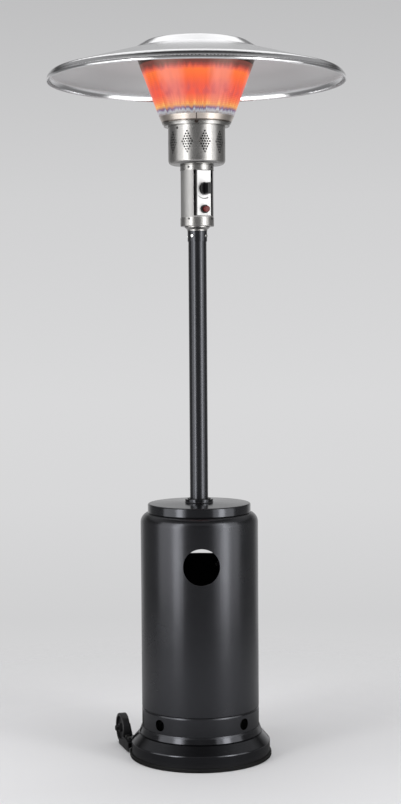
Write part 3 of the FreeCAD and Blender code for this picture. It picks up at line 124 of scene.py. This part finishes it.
class Nodes:
    """A node tree, with short ways to add the nodes that the finishes and the backdrop use."""

    def __init__(self, tree):
        self.nodes = tree.nodes
        self.links = tree.links

    def add(self, kind):
        return self.nodes.new("ShaderNode" + kind)

    def put(self, socket, value):
        if isinstance(value, bpy.types.NodeSocket):
            self.links.new(value, socket)
        else:
            socket.default_value = value

    def fill(self, node, values):
        """Put values on a node's first sockets, and give its first output."""
        for socket, value in zip(node.inputs, values):
            self.put(socket, value)
        return node.outputs[0]

    def math(self, action, *values):
        node = self.add("Math")
        node.operation = action
        return self.fill(node, values)

    def plus(self, first, second):
        return self.math("ADD", first, second)

    def minus(self, first, second):
        return self.math("SUBTRACT", first, second)

    def times(self, first, second):
        return self.math("MULTIPLY", first, second)

    def over(self, first, second):
        return self.math("DIVIDE", first, second)

    def larger(self, first, second):
        return self.math("MAXIMUM", first, second)

    def length(self, across, along):
        return self.math("SQRT", self.plus(self.times(across, across), self.times(along, along)))

    def spread(self, value, low, high, to_low=0.0, to_high=1.0):
        """Map a value from one range to another, held at the ends."""
        return self.fill(self.add("MapRange"), (value, low, high, to_low, to_high))

    def vary(self, noise, low, high):
        """A value that a noise moves between two ends."""
        return self.spread(noise, NOISE_LOW, NOISE_HIGH, low, high)

    def window(self, value, start, full, fade, end):
        """1 from full to fade, and 0 before start and after end."""
        return self.times(self.spread(value, start, full), self.spread(value, end, fade))

    def ramp(self, value, stops):
        """Colours along a value: each stop is a place from 0 to 1 and a colour."""
        node = self.add("ValToRGB")
        elements = node.color_ramp.elements
        while len(elements) < len(stops):
            elements.new(0.5)
        for element, (place, colour) in zip(elements, stops):
            element.position = place
            element.color = (*colour, 1.0)
        return self.fill(node, (value,))

    def mix(self, share, first, second):
        """A colour between two others."""
        node = self.add("Mix")
        node.data_type = "RGBA"
        self.put(node.inputs["Factor"], share)
        for key, value in (("A", first), ("B", second)):
            socket = next(item for item in node.inputs if item.name == key and item.type == "RGBA")
            self.put(socket, value if isinstance(value, bpy.types.NodeSocket) else (*value, 1.0))
        return next(item for item in node.outputs if item.type == "RGBA")

    def vector(self, x, y, z):
        return self.fill(self.add("CombineXYZ"), (x, y, z))

    def split(self, vector):
        node = self.add("SeparateXYZ")
        self.put(node.inputs[0], vector)
        return node.outputs

    def dot(self, first, second):
        node = self.add("VectorMath")
        node.operation = "DOT_PRODUCT"
        self.fill(node, (first, second))
        return node.outputs["Value"]


class Finish(Nodes):
    """A material, with its shader and the ways to find a place on the object."""

    def __init__(self, name):
        self.material = bpy.data.materials.new(name)
        self.material.use_nodes = True
        super().__init__(self.material.node_tree)
        self.shader = self.nodes["Principled BSDF"]
        self.place = self.add("TexCoord").outputs["Object"]

    def noise(self, vector, scale, detail=3.0, rough=0.5):
        node = self.add("TexNoise")
        self.put(node.inputs["Vector"], vector)
        self.put(node.inputs["Scale"], scale)
        self.put(node.inputs["Detail"], detail)
        self.put(node.inputs["Roughness"], rough)
        return node.outputs[0]

    def round_pole(self):
        """Angle round the pole from the front, distance from its axis, and height."""
        x, y, z = self.split(self.place)
        angle = self.math("ARCTAN2", x, self.times(y, -1.0))
        return Spot(angle, self.length(x, y), z)

    def unrolled(self, spot, cells_round, cells_up, layer):
        """A place on the unrolled wall: cells per radian and per metre, on a layer of the noise."""
        return self.vector(self.times(spot.angle, cells_round), self.times(spot.height, cells_up), layer)

    def ring_lines(self, spot):
        """A place that changes slowly along lines round the pole."""
        return self.vector(self.times(spot.angle, LINE_STRETCH), spot.distance, spot.height)

    def outward(self):
        """Above 0 where the surface looks away from the pole's axis, below 0 where it looks towards it."""
        normal = self.add("TexCoord").outputs["Normal"]
        place = self.split(self.place)
        return self.dot(normal, self.vector(place["X"], place["Y"], 0.0))

    def outward_share(self):
        """1 where the surface looks away from the pole's axis, 0 elsewhere."""
        return self.math("GREATER_THAN", self.outward(), 0.0)

    def bump(self, height, depth, strength=1.0):
        """Relief in the shading; a second call adds to the first."""
        node = self.add("Bump")
        for earlier in self.shader.inputs["Normal"].links:
            self.put(node.inputs["Normal"], earlier.from_socket)
        self.put(node.inputs["Height"], height)
        self.put(node.inputs["Distance"], depth)
        self.put(node.inputs["Strength"], strength)
        self.put(self.shader.inputs["Normal"], node.outputs[0])

    def lined_round(self, spread_share):
        """Stretch the gloss across fine lines that run round the pole."""
        node = self.add("Tangent")
        node.direction_type = "RADIAL"
        node.axis = "Z"
        self.put(self.shader.inputs["Tangent"], node.outputs[0])
        self.shader.inputs["Anisotropic"].default_value = spread_share

    def set(self, **values):
        """Put values on the shader's sockets, and give the material."""
        for name, value in values.items():
            is_colour = isinstance(value, tuple)
            self.put(self.shader.inputs[name.replace("_", " ")], (*value, 1.0) if is_colour else value)
        return self.material


def powder_coat(name, rough_low, rough_high):
    """Black coat: faint orange peel, soft patches, dust low down, a glossier base and matt insides."""
    t = Finish(name)
    spot = t.round_pole()
    patches = t.noise(t.place, 9.0, 4.0)
    t.bump(t.noise(t.place, 520.0, 2.0), 0.00006, 0.35)
    coat = t.mix(patches, (0.0020, 0.0020, 0.0023), (0.0034, 0.0034, 0.0038))
    dust = t.times(t.spread(spot.height, DUST_TOP, 0.0), t.noise(t.place, 160.0, 4.0))
    on_base = t.math("LESS_THAN", spot.height, GLOSSY_BASE_TOP)
    pan_floor = t.times(on_base, t.math("LESS_THAN", spot.distance, PAN_FLOOR_RADIUS))
    inner = t.larger(t.math("LESS_THAN", t.outward(), FACING_IN), pan_floor)
    satin_rough = t.minus(t.vary(patches, rough_low, rough_high), t.times(on_base, BASE_POLISH))
    return t.set(
        Base_Color=t.mix(t.times(dust, DUST_SHARE), coat, (0.09, 0.085, 0.08)),
        Roughness=t.larger(satin_rough, t.times(inner, MATT)),
        Specular_IOR_Level=0.74,
        Specular_Tint=(0.90, 0.92, 1.0),
    )


def on_hole(t, across, along, radius):
    """1 inside a hole and on the painted shade round its edge, 0 beyond, from the offsets to its middle."""
    return t.spread(t.length(across, along), radius + HOLE_SHADE_REACH, radius + HOLE_EDGE)


def past_nearest(t, value, last):
    """How far a value lies past the nearest whole number from 0 to the last one."""
    whole = t.math("MINIMUM", t.larger(t.math("ROUND", value), 0.0), last)
    return t.minus(value, whole)


def shaded_hole_edges(t, spot):
    """Painted shade round the edges of the burner cup's holes: diamonds of air holes round it, and one
    sight hole.
    """
    low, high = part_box("burner_cup")
    radius = high.y
    groups = t.over(t.minus(spot.angle, CUP_TURN), AIR_GROUP_TURN)
    turn = t.times(t.minus(groups, t.math("ROUND", groups)), AIR_GROUP_TURN)
    across = t.over(t.times(t.math("SINE", turn), radius), AIR_PITCH)
    rise = t.over(t.minus(spot.height, low.z + AIR_GROUP_LIFT), 2 * AIR_RISE)
    # The holes of a diamond are a square grid seen on its corner
    middle = t.plus(rise, AIR_GROUP_LAST / 2)
    up = past_nearest(t, t.plus(middle, across), AIR_GROUP_LAST)
    over = past_nearest(t, t.minus(middle, across), AIR_GROUP_LAST)
    beside = t.times(t.minus(up, over), AIR_PITCH / 2)
    above = t.times(t.plus(up, over), AIR_RISE)
    sight_across = t.times(t.minus(spot.angle, SIGHT_TURN), radius)
    sight_along = t.minus(spot.height, high.z - SIGHT_DROP)
    sight = on_hole(t, sight_across, sight_along, SIGHT_HOLE)
    return t.larger(on_hole(t, beside, above, AIR_HOLE), sight)


def spun_steel(name, light, dark, rough_low, rough_high, inside_shade_grey, punched=False):
    """Stainless steel with fine lines round the pole, and painted shade inside and at the edges of punched
    holes.
    """
    t = Finish(name)
    spot = t.round_pole()
    along = t.ring_lines(spot)
    lines = t.noise(along, 1400.0, 2.0, 0.6)
    wide = t.noise(along, 160.0)
    smears = t.noise(t.place, 14.0, 4.0)
    share = t.plus(t.times(lines, 0.5), t.times(wide, 0.5))
    rough = t.plus(t.times(lines, 0.5), t.times(smears, 0.5))
    t.bump(lines, LINE_DEPTH, 0.4)
    t.lined_round(LINE_GLOSS)
    # Painted shade: faces that look towards the pole, and the edges of punched holes, take the dark inside
    # grey
    inner = t.math("LESS_THAN", t.outward(), 0.0)
    if punched:
        inner = t.larger(inner, shaded_hole_edges(t, spot))
    return t.set(
        Base_Color=t.mix(inner, t.mix(share, dark, light), (inside_shade_grey, inside_shade_grey, inside_shade_grey)),
        Metallic=1.0,
        Roughness=t.vary(rough, rough_low, rough_high),
    )


def reflector_metal():
    """Spun aluminium: bright with fine rings and a rolled bead outside, dull inside, with painted light
    from the screen's glow near the pole.
    """
    t = Finish("spun_aluminium")
    spot = t.round_pole()
    along = t.vector(t.times(spot.angle, 0.03), spot.distance, t.times(spot.height, 0.2))
    rings = t.noise(along, 900.0, 2.0)
    broad = t.noise(t.vector(t.times(spot.angle, 0.05), spot.distance, 0.0), 60.0)
    smears = t.noise(t.place, 7.0, 4.0)
    facing = t.split(t.add("NewGeometry").outputs["Normal"])
    inside = t.spread(facing["Z"], *INSIDE_SPAN)
    # Painted light: the inside is lighter near the pole, where the glowing screen lights it
    near_glow = t.spread(spot.distance, *GLOW_LIGHT_SPAN)
    bright = t.mix(broad, (0.70, 0.70, 0.71), (0.82, 0.82, 0.83))
    dull = t.mix(smears, (0.46, 0.46, 0.465), (0.53, 0.53, 0.535))
    glow_lit = t.mix(near_glow, dull, (0.76, 0.76, 0.77))
    across = t.spread(spot.height, RIM_FOOT, RIM_FOOT + RIM_BEAD)
    bead = t.times(across, t.minus(1.0, across))
    t.bump(t.times(bead, t.outward_share()), RIM_BEAD)
    t.bump(rings, 0.00004, 0.35)
    return t.set(
        Base_Color=t.mix(inside, bright, glow_lit),
        Metallic=t.spread(inside, 0.0, 1.0, 1.0, INSIDE_METALLIC),
        Roughness=t.plus(t.times(inside, INSIDE_ROUGHER), t.vary(smears, 0.13, 0.18)),
    )


def flame_level(t, rise, streaks, scorch):
    """Share of the screen's height, made uneven by flame tips at the foot and by scorching at the top."""
    lick = t.times(t.times(t.minus(streaks, 0.5), LICK_HEIGHT), t.spread(rise, *LICK_SPAN))
    uneven_top = t.times(t.times(t.minus(scorch, 0.5), SCORCH_HEIGHT), t.spread(rise, *SCORCH_SPAN))
    return t.plus(t.minus(rise, lick), uneven_top)


def flame_colour(t, spot, rise, streaks):
    """Flame colours: hot and pale bands in turn round the screen, dark blots and yellow tips."""
    scorch = t.noise(t.unrolled(spot, 12.0, 20.0, 7.0), 1.0, 4.0)
    level = flame_level(t, rise, streaks, scorch)
    hot = t.ramp(
        level,
        [
            (0.00, (0.30, 0.27, 0.27)),
            (0.05, (0.48, 0.53, 0.58)),
            (0.10, (0.15, 0.10, 0.23)),
            (0.16, (0.95, 0.40, 0.11)),
            (0.23, (0.99, 0.23, 0.08)),
            (0.36, (0.93, 0.11, 0.06)),
            (0.50, (0.90, 0.11, 0.06)),
            (0.66, (1.00, 0.15, 0.04)),
            (0.79, (1.00, 0.19, 0.04)),
            (0.83, (0.88, 0.13, 0.06)),
            (0.88, (0.42, 0.07, 0.05)),
            (0.93, (0.16, 0.05, 0.04)),
        ],
    )
    pale = t.ramp(
        level,
        [
            (0.00, (0.34, 0.32, 0.32)),
            (0.05, (0.60, 0.62, 0.66)),
            (0.10, (0.24, 0.17, 0.33)),
            (0.16, (0.95, 0.39, 0.17)),
            (0.23, (0.98, 0.29, 0.17)),
            (0.36, (0.86, 0.20, 0.16)),
            (0.50, (0.84, 0.20, 0.17)),
            (0.66, (0.98, 0.26, 0.17)),
            (0.79, (1.00, 0.28, 0.18)),
            (0.83, (0.78, 0.21, 0.17)),
            (0.88, (0.42, 0.15, 0.13)),
            (0.93, (0.24, 0.13, 0.11)),
        ],
    )
    wander = t.noise(t.unrolled(spot, 5.0, 14.0, 3.0), 1.0)
    turned = t.times(t.minus(spot.angle, HOT_SPOT_TURN), HOT_SPOTS)
    spots = t.math("MULTIPLY_ADD", t.math("COSINE", turned), -0.5, 0.5)
    uneven = t.plus(spots, t.times(t.minus(wander, 0.5), 0.8))
    flame = t.mix(t.spread(uneven, 0.22, 0.95), hot, pale)
    blots = t.spread(t.noise(t.unrolled(spot, 7.0, 26.0, 11.0), 1.0), 0.46, 0.66)
    blotted = t.times(t.times(blots, t.window(rise, *BLOT_SPAN)), BLOT_SHARE)
    flame = t.mix(blotted, flame, (0.55, 0.10, 0.12))
    tips = t.times(t.window(rise, *TIP_SPAN), t.spread(streaks, 0.48, 0.66, 0.0, TIP_SHARE))
    return t.mix(tips, flame, (1.0, 0.60, 0.16))


def perforation(t, spot):
    """1 inside round holes in staggered rows, 0 between them; a hole's edge is in shares of the pitch."""
    row = t.over(spot.height, SCREEN_ROW_PITCH)
    stagger = t.times(t.math("MODULO", t.math("FLOOR", row), 2.0), 0.5)
    column = t.plus(t.times(spot.angle, SCREEN_HOLES_ROUND / (2 * math.pi)), stagger)
    across = t.minus(t.math("FRACT", column), 0.5)
    along = t.minus(t.math("FRACT", row), 0.5)
    return t.spread(t.length(across, along), *SCREEN_HOLE_EDGE)


def glowing_screen():
    """Hot perforated screen: bands of flame colour, vertical streaks and a close pattern of round holes."""
    t = Finish("glowing_screen")
    spot = t.round_pole()
    rise = t.spread(spot.height, SCREEN_FOOT, SCREEN_TOP)
    streaks = t.noise(t.unrolled(spot, 22.0, 9.0, 0.0), 1.0)
    flame = flame_colour(t, spot, rise, streaks)
    holes = perforation(t, spot)
    t.bump(holes, -SCREEN_HOLE_DEPTH, 0.4)
    in_holes = t.mix(0.5, flame, (0.42, 0.05, 0.02))
    faintest = t.spread(rise, *STREAK_SPAN, 0.72, 0.90)
    glow = t.spread(streaks, 0.25, 0.75, faintest, 1.08)
    return t.set(
        Base_Color=t.mix(holes, (0.020, 0.016, 0.015), (0.006, 0.005, 0.005)),
        Roughness=t.spread(streaks, 0.2, 0.8, 0.6, 0.75),
        Specular_IOR_Level=0.1,
        Emission_Color=t.mix(t.times(holes, SCREEN_HOLE_SHADE), flame, in_holes),
        Emission_Strength=t.times(glow, t.outward_share()),
    )


def tinted_steel():
    """Steel near the flame: straw and brown heat colours, painted shade at the top and the foot, and a dark
    lapped seam.
    """
    t = Finish("heat_tinted_steel")
    spot = t.round_pole()
    lines = t.noise(t.ring_lines(spot), 1300.0, 2.0)
    clouds = t.noise(t.place, 22.0, 4.0)
    # Darker brown towards the top: heat colours, and partly painted shade under the reflector's lip
    heat = t.spread(spot.height, SCREEN_FOOT, SCREEN_TOP)
    cool = t.mix(clouds, (0.50, 0.44, 0.39), (0.64, 0.58, 0.53))
    hot = t.mix(clouds, (0.09, 0.055, 0.045), (0.20, 0.13, 0.10))
    band_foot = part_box("emitter_flange")[1].z
    # Painted shade along the band's foot at the flange; the seam is a dark joint
    low_down = t.spread(spot.height, band_foot + FOOT_SHADE_FADE, band_foot + FOOT_SHADE_DARK)
    foot = t.times(low_down, t.spread(clouds, 0.2, 0.5))
    beside_seam = t.math("ABSOLUTE", t.minus(spot.angle, SEAM_TURN))
    seam = t.spread(beside_seam, SEAM_FADE, SEAM_DARK)
    seam_and_foot_shade = t.times(t.larger(foot, seam), SEAM_AND_SHADE_SHARE)
    t.bump(lines, 0.00004, 0.4)
    return t.set(
        Base_Color=t.mix(seam_and_foot_shade, t.mix(heat, cool, hot), (0.025, 0.016, 0.014)),
        Metallic=1.0,
        Roughness=t.vary(lines, 0.26, 0.38),
    )


def plastic(name, light, dark, rough, grain=700.0, depth=0.00008, gloss=0.5):
    """Moulded plastic with a fine spark-eroded grain and soft patches."""
    t = Finish(name)
    patches = t.noise(t.place, 40.0)
    t.bump(t.noise(t.place, grain, 2.0), depth, 0.3)
    return t.set(
        Base_Color=t.mix(patches, dark, light),
        Roughness=t.vary(patches, rough, rough + 0.1),
        Specular_IOR_Level=gloss,
    )


def plain_metal(name, light, dark, rough, grain=260.0):
    """Turned, cast or plated metal with cloudy patches and a fine grain."""
    t = Finish(name)
    patches = t.noise(t.place, 55.0, 4.0)
    fine = t.noise(t.place, grain)
    t.bump(fine, 0.00005, 0.3)
    return t.set(
        Base_Color=t.mix(patches, dark, light),
        Metallic=1.0,
        Roughness=t.vary(fine, rough, rough + 0.14),
    )


# Light and dark colour, least and most roughness, and the painted shade grey of the insides
BRIGHT_STEEL = ((0.39, 0.383, 0.372), (0.31, 0.303, 0.293), 0.20, 0.28, 0.03)
satin = spun_steel("satin_stainless", (0.35, 0.345, 0.34), (0.28, 0.275, 0.27), 0.36, 0.46, 0.16)
dark_screw = plain_metal("blackened_screw", (0.10, 0.10, 0.10), (0.05, 0.05, 0.05), 0.4)
SLOT_FINISH = {
    "black_coat": powder_coat("black_powder_coat", 0.23, 0.28),
    "edging": plastic(
        "edging_rubber",
        (0.008, 0.008, 0.008),
        (0.005, 0.005, 0.005),
        0.52,
        grain=420.0,
        depth=0.00015,
        gloss=0.2,
    ),
    "ballast": plain_metal(
        "ballast_iron", (0.16, 0.15, 0.145), (0.09, 0.085, 0.08), 0.6, grain=120.0
    ),
    "wheel_plastic": plastic("wheel_plastic", (0.012, 0.012, 0.013), (0.007, 0.007, 0.008), 0.38),
    "zinc": plain_metal("bright_zinc", (0.82, 0.82, 0.80), (0.66, 0.66, 0.65), 0.2),
    "stainless": spun_steel("polished_stainless", *BRIGHT_STEEL),
    "dark_screws": dark_screw,
    "dial_enamel": plastic(
        "white_enamel", (0.80, 0.80, 0.79), (0.74, 0.74, 0.73), 0.3, grain=600.0, depth=0.00003
    ),
    "black_plastic": plastic(
        "black_plastic", (0.007, 0.007, 0.008), (0.004, 0.004, 0.005), 0.28, gloss=0.3
    ),
    "red_plastic": plastic(
        "red_plastic",
        (0.12, 0.005, 0.004),
        (0.085, 0.004, 0.003),
        0.2,
        grain=400.0,
        depth=0.00002,
        gloss=0.3,
    ),
    "die_cast": plain_metal(
        "die_cast_aluminium", (0.66, 0.66, 0.67), (0.52, 0.52, 0.53), 0.4, grain=420.0
    ),
    "brass": plain_metal("turned_brass", (0.80, 0.60, 0.27), (0.64, 0.45, 0.18), 0.22),
    "burner_steel": plain_metal("burner_steel", (0.46, 0.43, 0.40), (0.30, 0.27, 0.25), 0.34),
    "ceramic": plastic(
        "ceramic", (0.84, 0.82, 0.77), (0.76, 0.73, 0.68), 0.25, grain=300.0, depth=0.00005
    ),
    "heat_tinted_steel": tinted_steel(),
    "glow_screen": glowing_screen(),
    "spun_aluminium": reflector_metal(),
}
NODE_FINISH = {
    "burner_cup": spun_steel("punched_stainless", *BRIGHT_STEEL, punched=True),
    "housing_lid": powder_coat("smooth_black_coat", 0.15, 0.20),
    "control_shell": satin,
    "control_chassis": satin,
    # Painted shade: the reflector's nuts and studs sit in shade on the dome's top, so they take the dark
    # screw finish
    "reflector_nuts": dark_screw,
    "reflector_studs": dark_screw,
}
for part in frame["record"]["subparts"]:
    mesh = frame["nodes"][part["node"]].data
    mesh.materials.clear()
    mesh.materials.append(NODE_FINISH.get(part["node"], SLOT_FINISH[part["material_slot"]]))


# Print on the dial, in a frame on the control panel: X across, Y up, Z out of the dial
PANEL = Matrix.Rotation(HEAD_TURN, 4, "Z") @ Matrix.Rotation(math.pi / 2, 4, "X")
ARC_RADIUS = 0.0305
ARC_THIN = 0.0012
ARC_THICK = 0.0036
ARC_START = math.radians(225.0)
ARC_END = math.radians(152.0)
ARC_STEPS = 24
INK_THICKNESS = 0.00012
INK_SUNK = 0.00002


def growing_arc():
    """Outline of an arc that grows from thin to thick."""
    rim = []
    bore = []
    for step in range(ARC_STEPS + 1):
        share = step / ARC_STEPS
        half = (ARC_THIN + (ARC_THICK - ARC_THIN) * share) / 2
        turn = ARC_START + (ARC_END - ARC_START) * share
        rim.append(((ARC_RADIUS + half) * math.sin(turn), (ARC_RADIUS + half) * math.cos(turn)))
        bore.append(((ARC_RADIUS - half) * math.sin(turn), (ARC_RADIUS - half) * math.cos(turn)))
    return rim + bore[::-1]


def printed_piece(name, outline, foot, centre_height, finish, body):
    """A thin flat piece on the panel, its outline given about a centre at a height."""
    bm = bmesh.new()
    face = bm.faces.new([bm.verts.new((x, y, 0.0)) for x, y in outline])
    raised = bmesh.ops.extrude_face_region(bm, geom=[face])["geom"]
    tops = [item for item in raised if isinstance(item, bmesh.types.BMVert)]
    bmesh.ops.translate(bm, verts=tops, vec=(0.0, 0.0, INK_THICKNESS))
    bmesh.ops.recalc_face_normals(bm, faces=bm.faces)
    mesh = bpy.data.meshes.new(name)
    bm.to_mesh(mesh)
    bm.free()
    # The panel's up direction is the pole's, so the centre height is added along Y before the turn
    mesh.transform(PANEL @ Matrix.Translation((0.0, centre_height, foot)))
    mesh.materials.append(finish)
    piece = bpy.data.objects.new(name, mesh)
    bpy.context.scene.collection.objects.link(piece)
    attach(piece, body)


dial_ink = plastic("dial_ink", (0.05, 0.05, 0.05), (0.03, 0.03, 0.03), 0.4)
printed_piece("dial_marks", growing_arc(), DIAL_FACE - INK_SUNK, KNOB_AXIS, dial_ink, "stand")

# Camera at the photograph's viewing angle; its sensor spans the picture's longer side
CAMERA_TURN = math.radians(-18.0)
CAMERA_DISTANCE = 5.0786
CAMERA_SIDE = 0.0065
CAMERA_HEIGHT = 1.4065
CAMERA_TILT = math.radians(3.02)
CAMERA_ROLL = -0.0067
SENSOR_MILLIMETRES = 36.0
FOCAL_PIXELS = 1589.66
PICTURE_HEIGHT_PIXELS = 804
camera_data = bpy.data.cameras.new("camera")
camera_data.sensor_width = SENSOR_MILLIMETRES
camera_data.lens = FOCAL_PIXELS / PICTURE_HEIGHT_PIXELS * SENSOR_MILLIMETRES
camera = bpy.data.objects.new("camera", camera_data)
bpy.context.scene.collection.objects.link(camera)
camera_bearing = Matrix.Rotation(CAMERA_TURN, 4, "Z")
stand_point = camera_bearing @ Vector((CAMERA_SIDE, -CAMERA_DISTANCE, CAMERA_HEIGHT))
look = Matrix.Rotation(math.pi / 2 - CAMERA_TILT, 4, "X") @ Matrix.Rotation(CAMERA_ROLL, 4, "Z")
camera.matrix_world = Matrix.Translation(stand_point) @ camera_bearing @ look
bpy.context.scene.camera = camera

# Area lamps: degrees round from the front, distance, height, width, length, watts and height aimed at
SOFTBOXES = {
    "left_softbox": (-75, 2.7, 1.45, 2.7, 2.8, 37, 1.45),
    "left_strip": (-61, 2.5, 1.55, 0.6, 2.9, 22, 1.55),
    "right_softbox": (38, 2.7, 1.45, 2.6, 2.8, 35, 1.45),
    "right_strip": (32, 2.5, 1.55, 0.6, 2.9, 23, 1.55),
    "top_softbox": (165, 1.4, 4.6, 3.2, 2.6, 24, 2.2),
}
for name, (degrees, distance, height, width, length, watts, aim_height) in SOFTBOXES.items():
    data = bpy.data.lights.new(name, "AREA")
    data.shape = "RECTANGLE"
    data.size = width
    data.size_y = length
    data.energy = watts
    lamp = bpy.data.objects.new(name, data)
    bpy.context.scene.collection.objects.link(lamp)
    bearing = math.radians(degrees)
    lamp.location = (distance * math.sin(bearing), -distance * math.cos(bearing), height)
    aim = Vector((0.0, 0.0, aim_height)) - lamp.location
    lamp.rotation_euler = aim.to_track_quat("-Z", "Y").to_euler()

# Floor: it fades out between two distances, which are shorter for the camera
FLOOR_RADIUS = 2.6
FLOOR_FADE = 1.5
CAMERA_FADE = 0.8
CAMERA_FADE_END = 1.9
FLOOR_DROP = 0.0005
FLOOR_SIDES = 96
FRONT_SHADE = (-0.75, 0.25)
MIRROR_SHADE = (0.40, 0.95)


def floor_finish():
    """Pale floor, darker towards the front and where gloss mirrors it, most near the heater, as painted
    shade; it fades into the backdrop, sooner for the camera.
    """
    t = Finish("studio_floor")
    spot = t.round_pole()
    rays = t.add("LightPath").outputs
    seen = rays["Is Camera Ray"]
    pale = t.mix(t.noise(t.place, 0.8, 2.0), (0.85, 0.85, 0.86), (0.88, 0.88, 0.89))
    # Painted shade: the floor grows darker towards the front
    to_front = t.times(spot.distance, t.math("COSINE", spot.angle))
    front_shaded = t.mix(t.spread(to_front, *FRONT_SHADE), pale, (0.745, 0.745, 0.755))
    # Painted shade in reflections: the floor that gloss mirrors is darkest near the heater
    far = t.spread(spot.distance, *MIRROR_SHADE)
    mirrored = t.mix(far, (0.14, 0.14, 0.142), (0.54, 0.54, 0.55))
    fade_end = t.spread(seen, 0.0, 1.0, FLOOR_RADIUS, CAMERA_FADE_END)
    fade_start = t.spread(seen, 0.0, 1.0, FLOOR_FADE, CAMERA_FADE)
    return t.set(
        Base_Color=t.mix(rays["Is Glossy Ray"], t.mix(seen, pale, front_shaded), mirrored),
        Roughness=0.85,
        Alpha=t.spread(spot.distance, fade_end, fade_start),
    )


floor_mesh = bpy.data.meshes.new("floor")
bm = bmesh.new()
bmesh.ops.create_circle(bm, cap_ends=True, segments=FLOOR_SIDES, radius=FLOOR_RADIUS)
bm.to_mesh(floor_mesh)
bm.free()
floor_mesh.materials.append(floor_finish())
floor = bpy.data.objects.new("floor", floor_mesh)
floor.location.z = -FLOOR_DROP
bpy.context.scene.collection.objects.link(floor)


# Backdrop: greys up the wall, from WALL_REACH below the horizon to as far above it. Spans and reaches are
# sines of the angle from the horizon, or cosines of the angle from a level direction.
WALL_REACH = 0.25
WALL_GREYS = {0.0: 0.70, 0.13: 0.635, 0.27: 0.685, 0.40: 0.695, 0.65: 0.638, 0.88: 0.53, 1.0: 0.50}
WALL_BLUE = 1.01
LIGHT_LEVEL = 0.95
STUDIO_LEVEL = 0.30
CORNER_LEVEL = 0.15
UPPER_LEVEL = 0.7
CEILING_LEVEL = 0.15
BEHIND_SPAN = (0.68, 0.92)
CORNER_SPAN = (0.05, 0.18)
CORNER_RISE = (0.26, 0.36)
UPPER_SPAN = (0.36, 0.54)
CEILING_SPAN = (0.75, 0.92)
GROUND_SPAN = (-0.30, -0.60)


def backdrop(world):
    """Pale wall all round for the camera; metal also sees the darker studio on the camera's side."""
    n = Nodes(world.node_tree)
    direction = n.add("TexCoord").outputs["Generated"]
    up = n.split(direction)["Z"]
    greys = [(place, (grey, grey, grey * WALL_BLUE)) for place, grey in WALL_GREYS.items()]
    wall = n.ramp(n.spread(up, -WALL_REACH, WALL_REACH), greys)
    away = n.dot(direction, (-math.sin(CAMERA_TURN), math.cos(CAMERA_TURN), 0.0))
    aside = n.dot(direction, (math.cos(CAMERA_TURN), math.sin(CAMERA_TURN), 0.0))
    behind = n.spread(away, *BEHIND_SPAN, STUDIO_LEVEL, 1.0)
    corners = n.spread(n.math("ABSOLUTE", aside), *CORNER_SPAN, 1.0, CORNER_LEVEL)
    behind = n.times(behind, n.spread(up, *CORNER_RISE, 1.0, corners))
    upper = n.spread(up, *UPPER_SPAN, 0.0, UPPER_LEVEL)
    ceiling = n.spread(up, *CEILING_SPAN, 1.0, CEILING_LEVEL)
    ground = n.spread(up, *GROUND_SPAN)
    mirrored = n.larger(n.times(n.larger(behind, upper), ceiling), ground)
    rays = n.add("LightPath").outputs
    level = n.spread(rays["Is Glossy Ray"], 0.0, 1.0, LIGHT_LEVEL, mirrored)
    sky = n.nodes["Background"]
    n.put(sky.inputs["Color"], wall)
    n.put(sky.inputs["Strength"], n.larger(level, rays["Is Camera Ray"]))


studio = bpy.data.worlds.new("studio")
bpy.context.scene.world = studio
studio.use_nodes = True
backdrop(studio)

bpy.context.scene.view_settings.view_transform = "Standard"
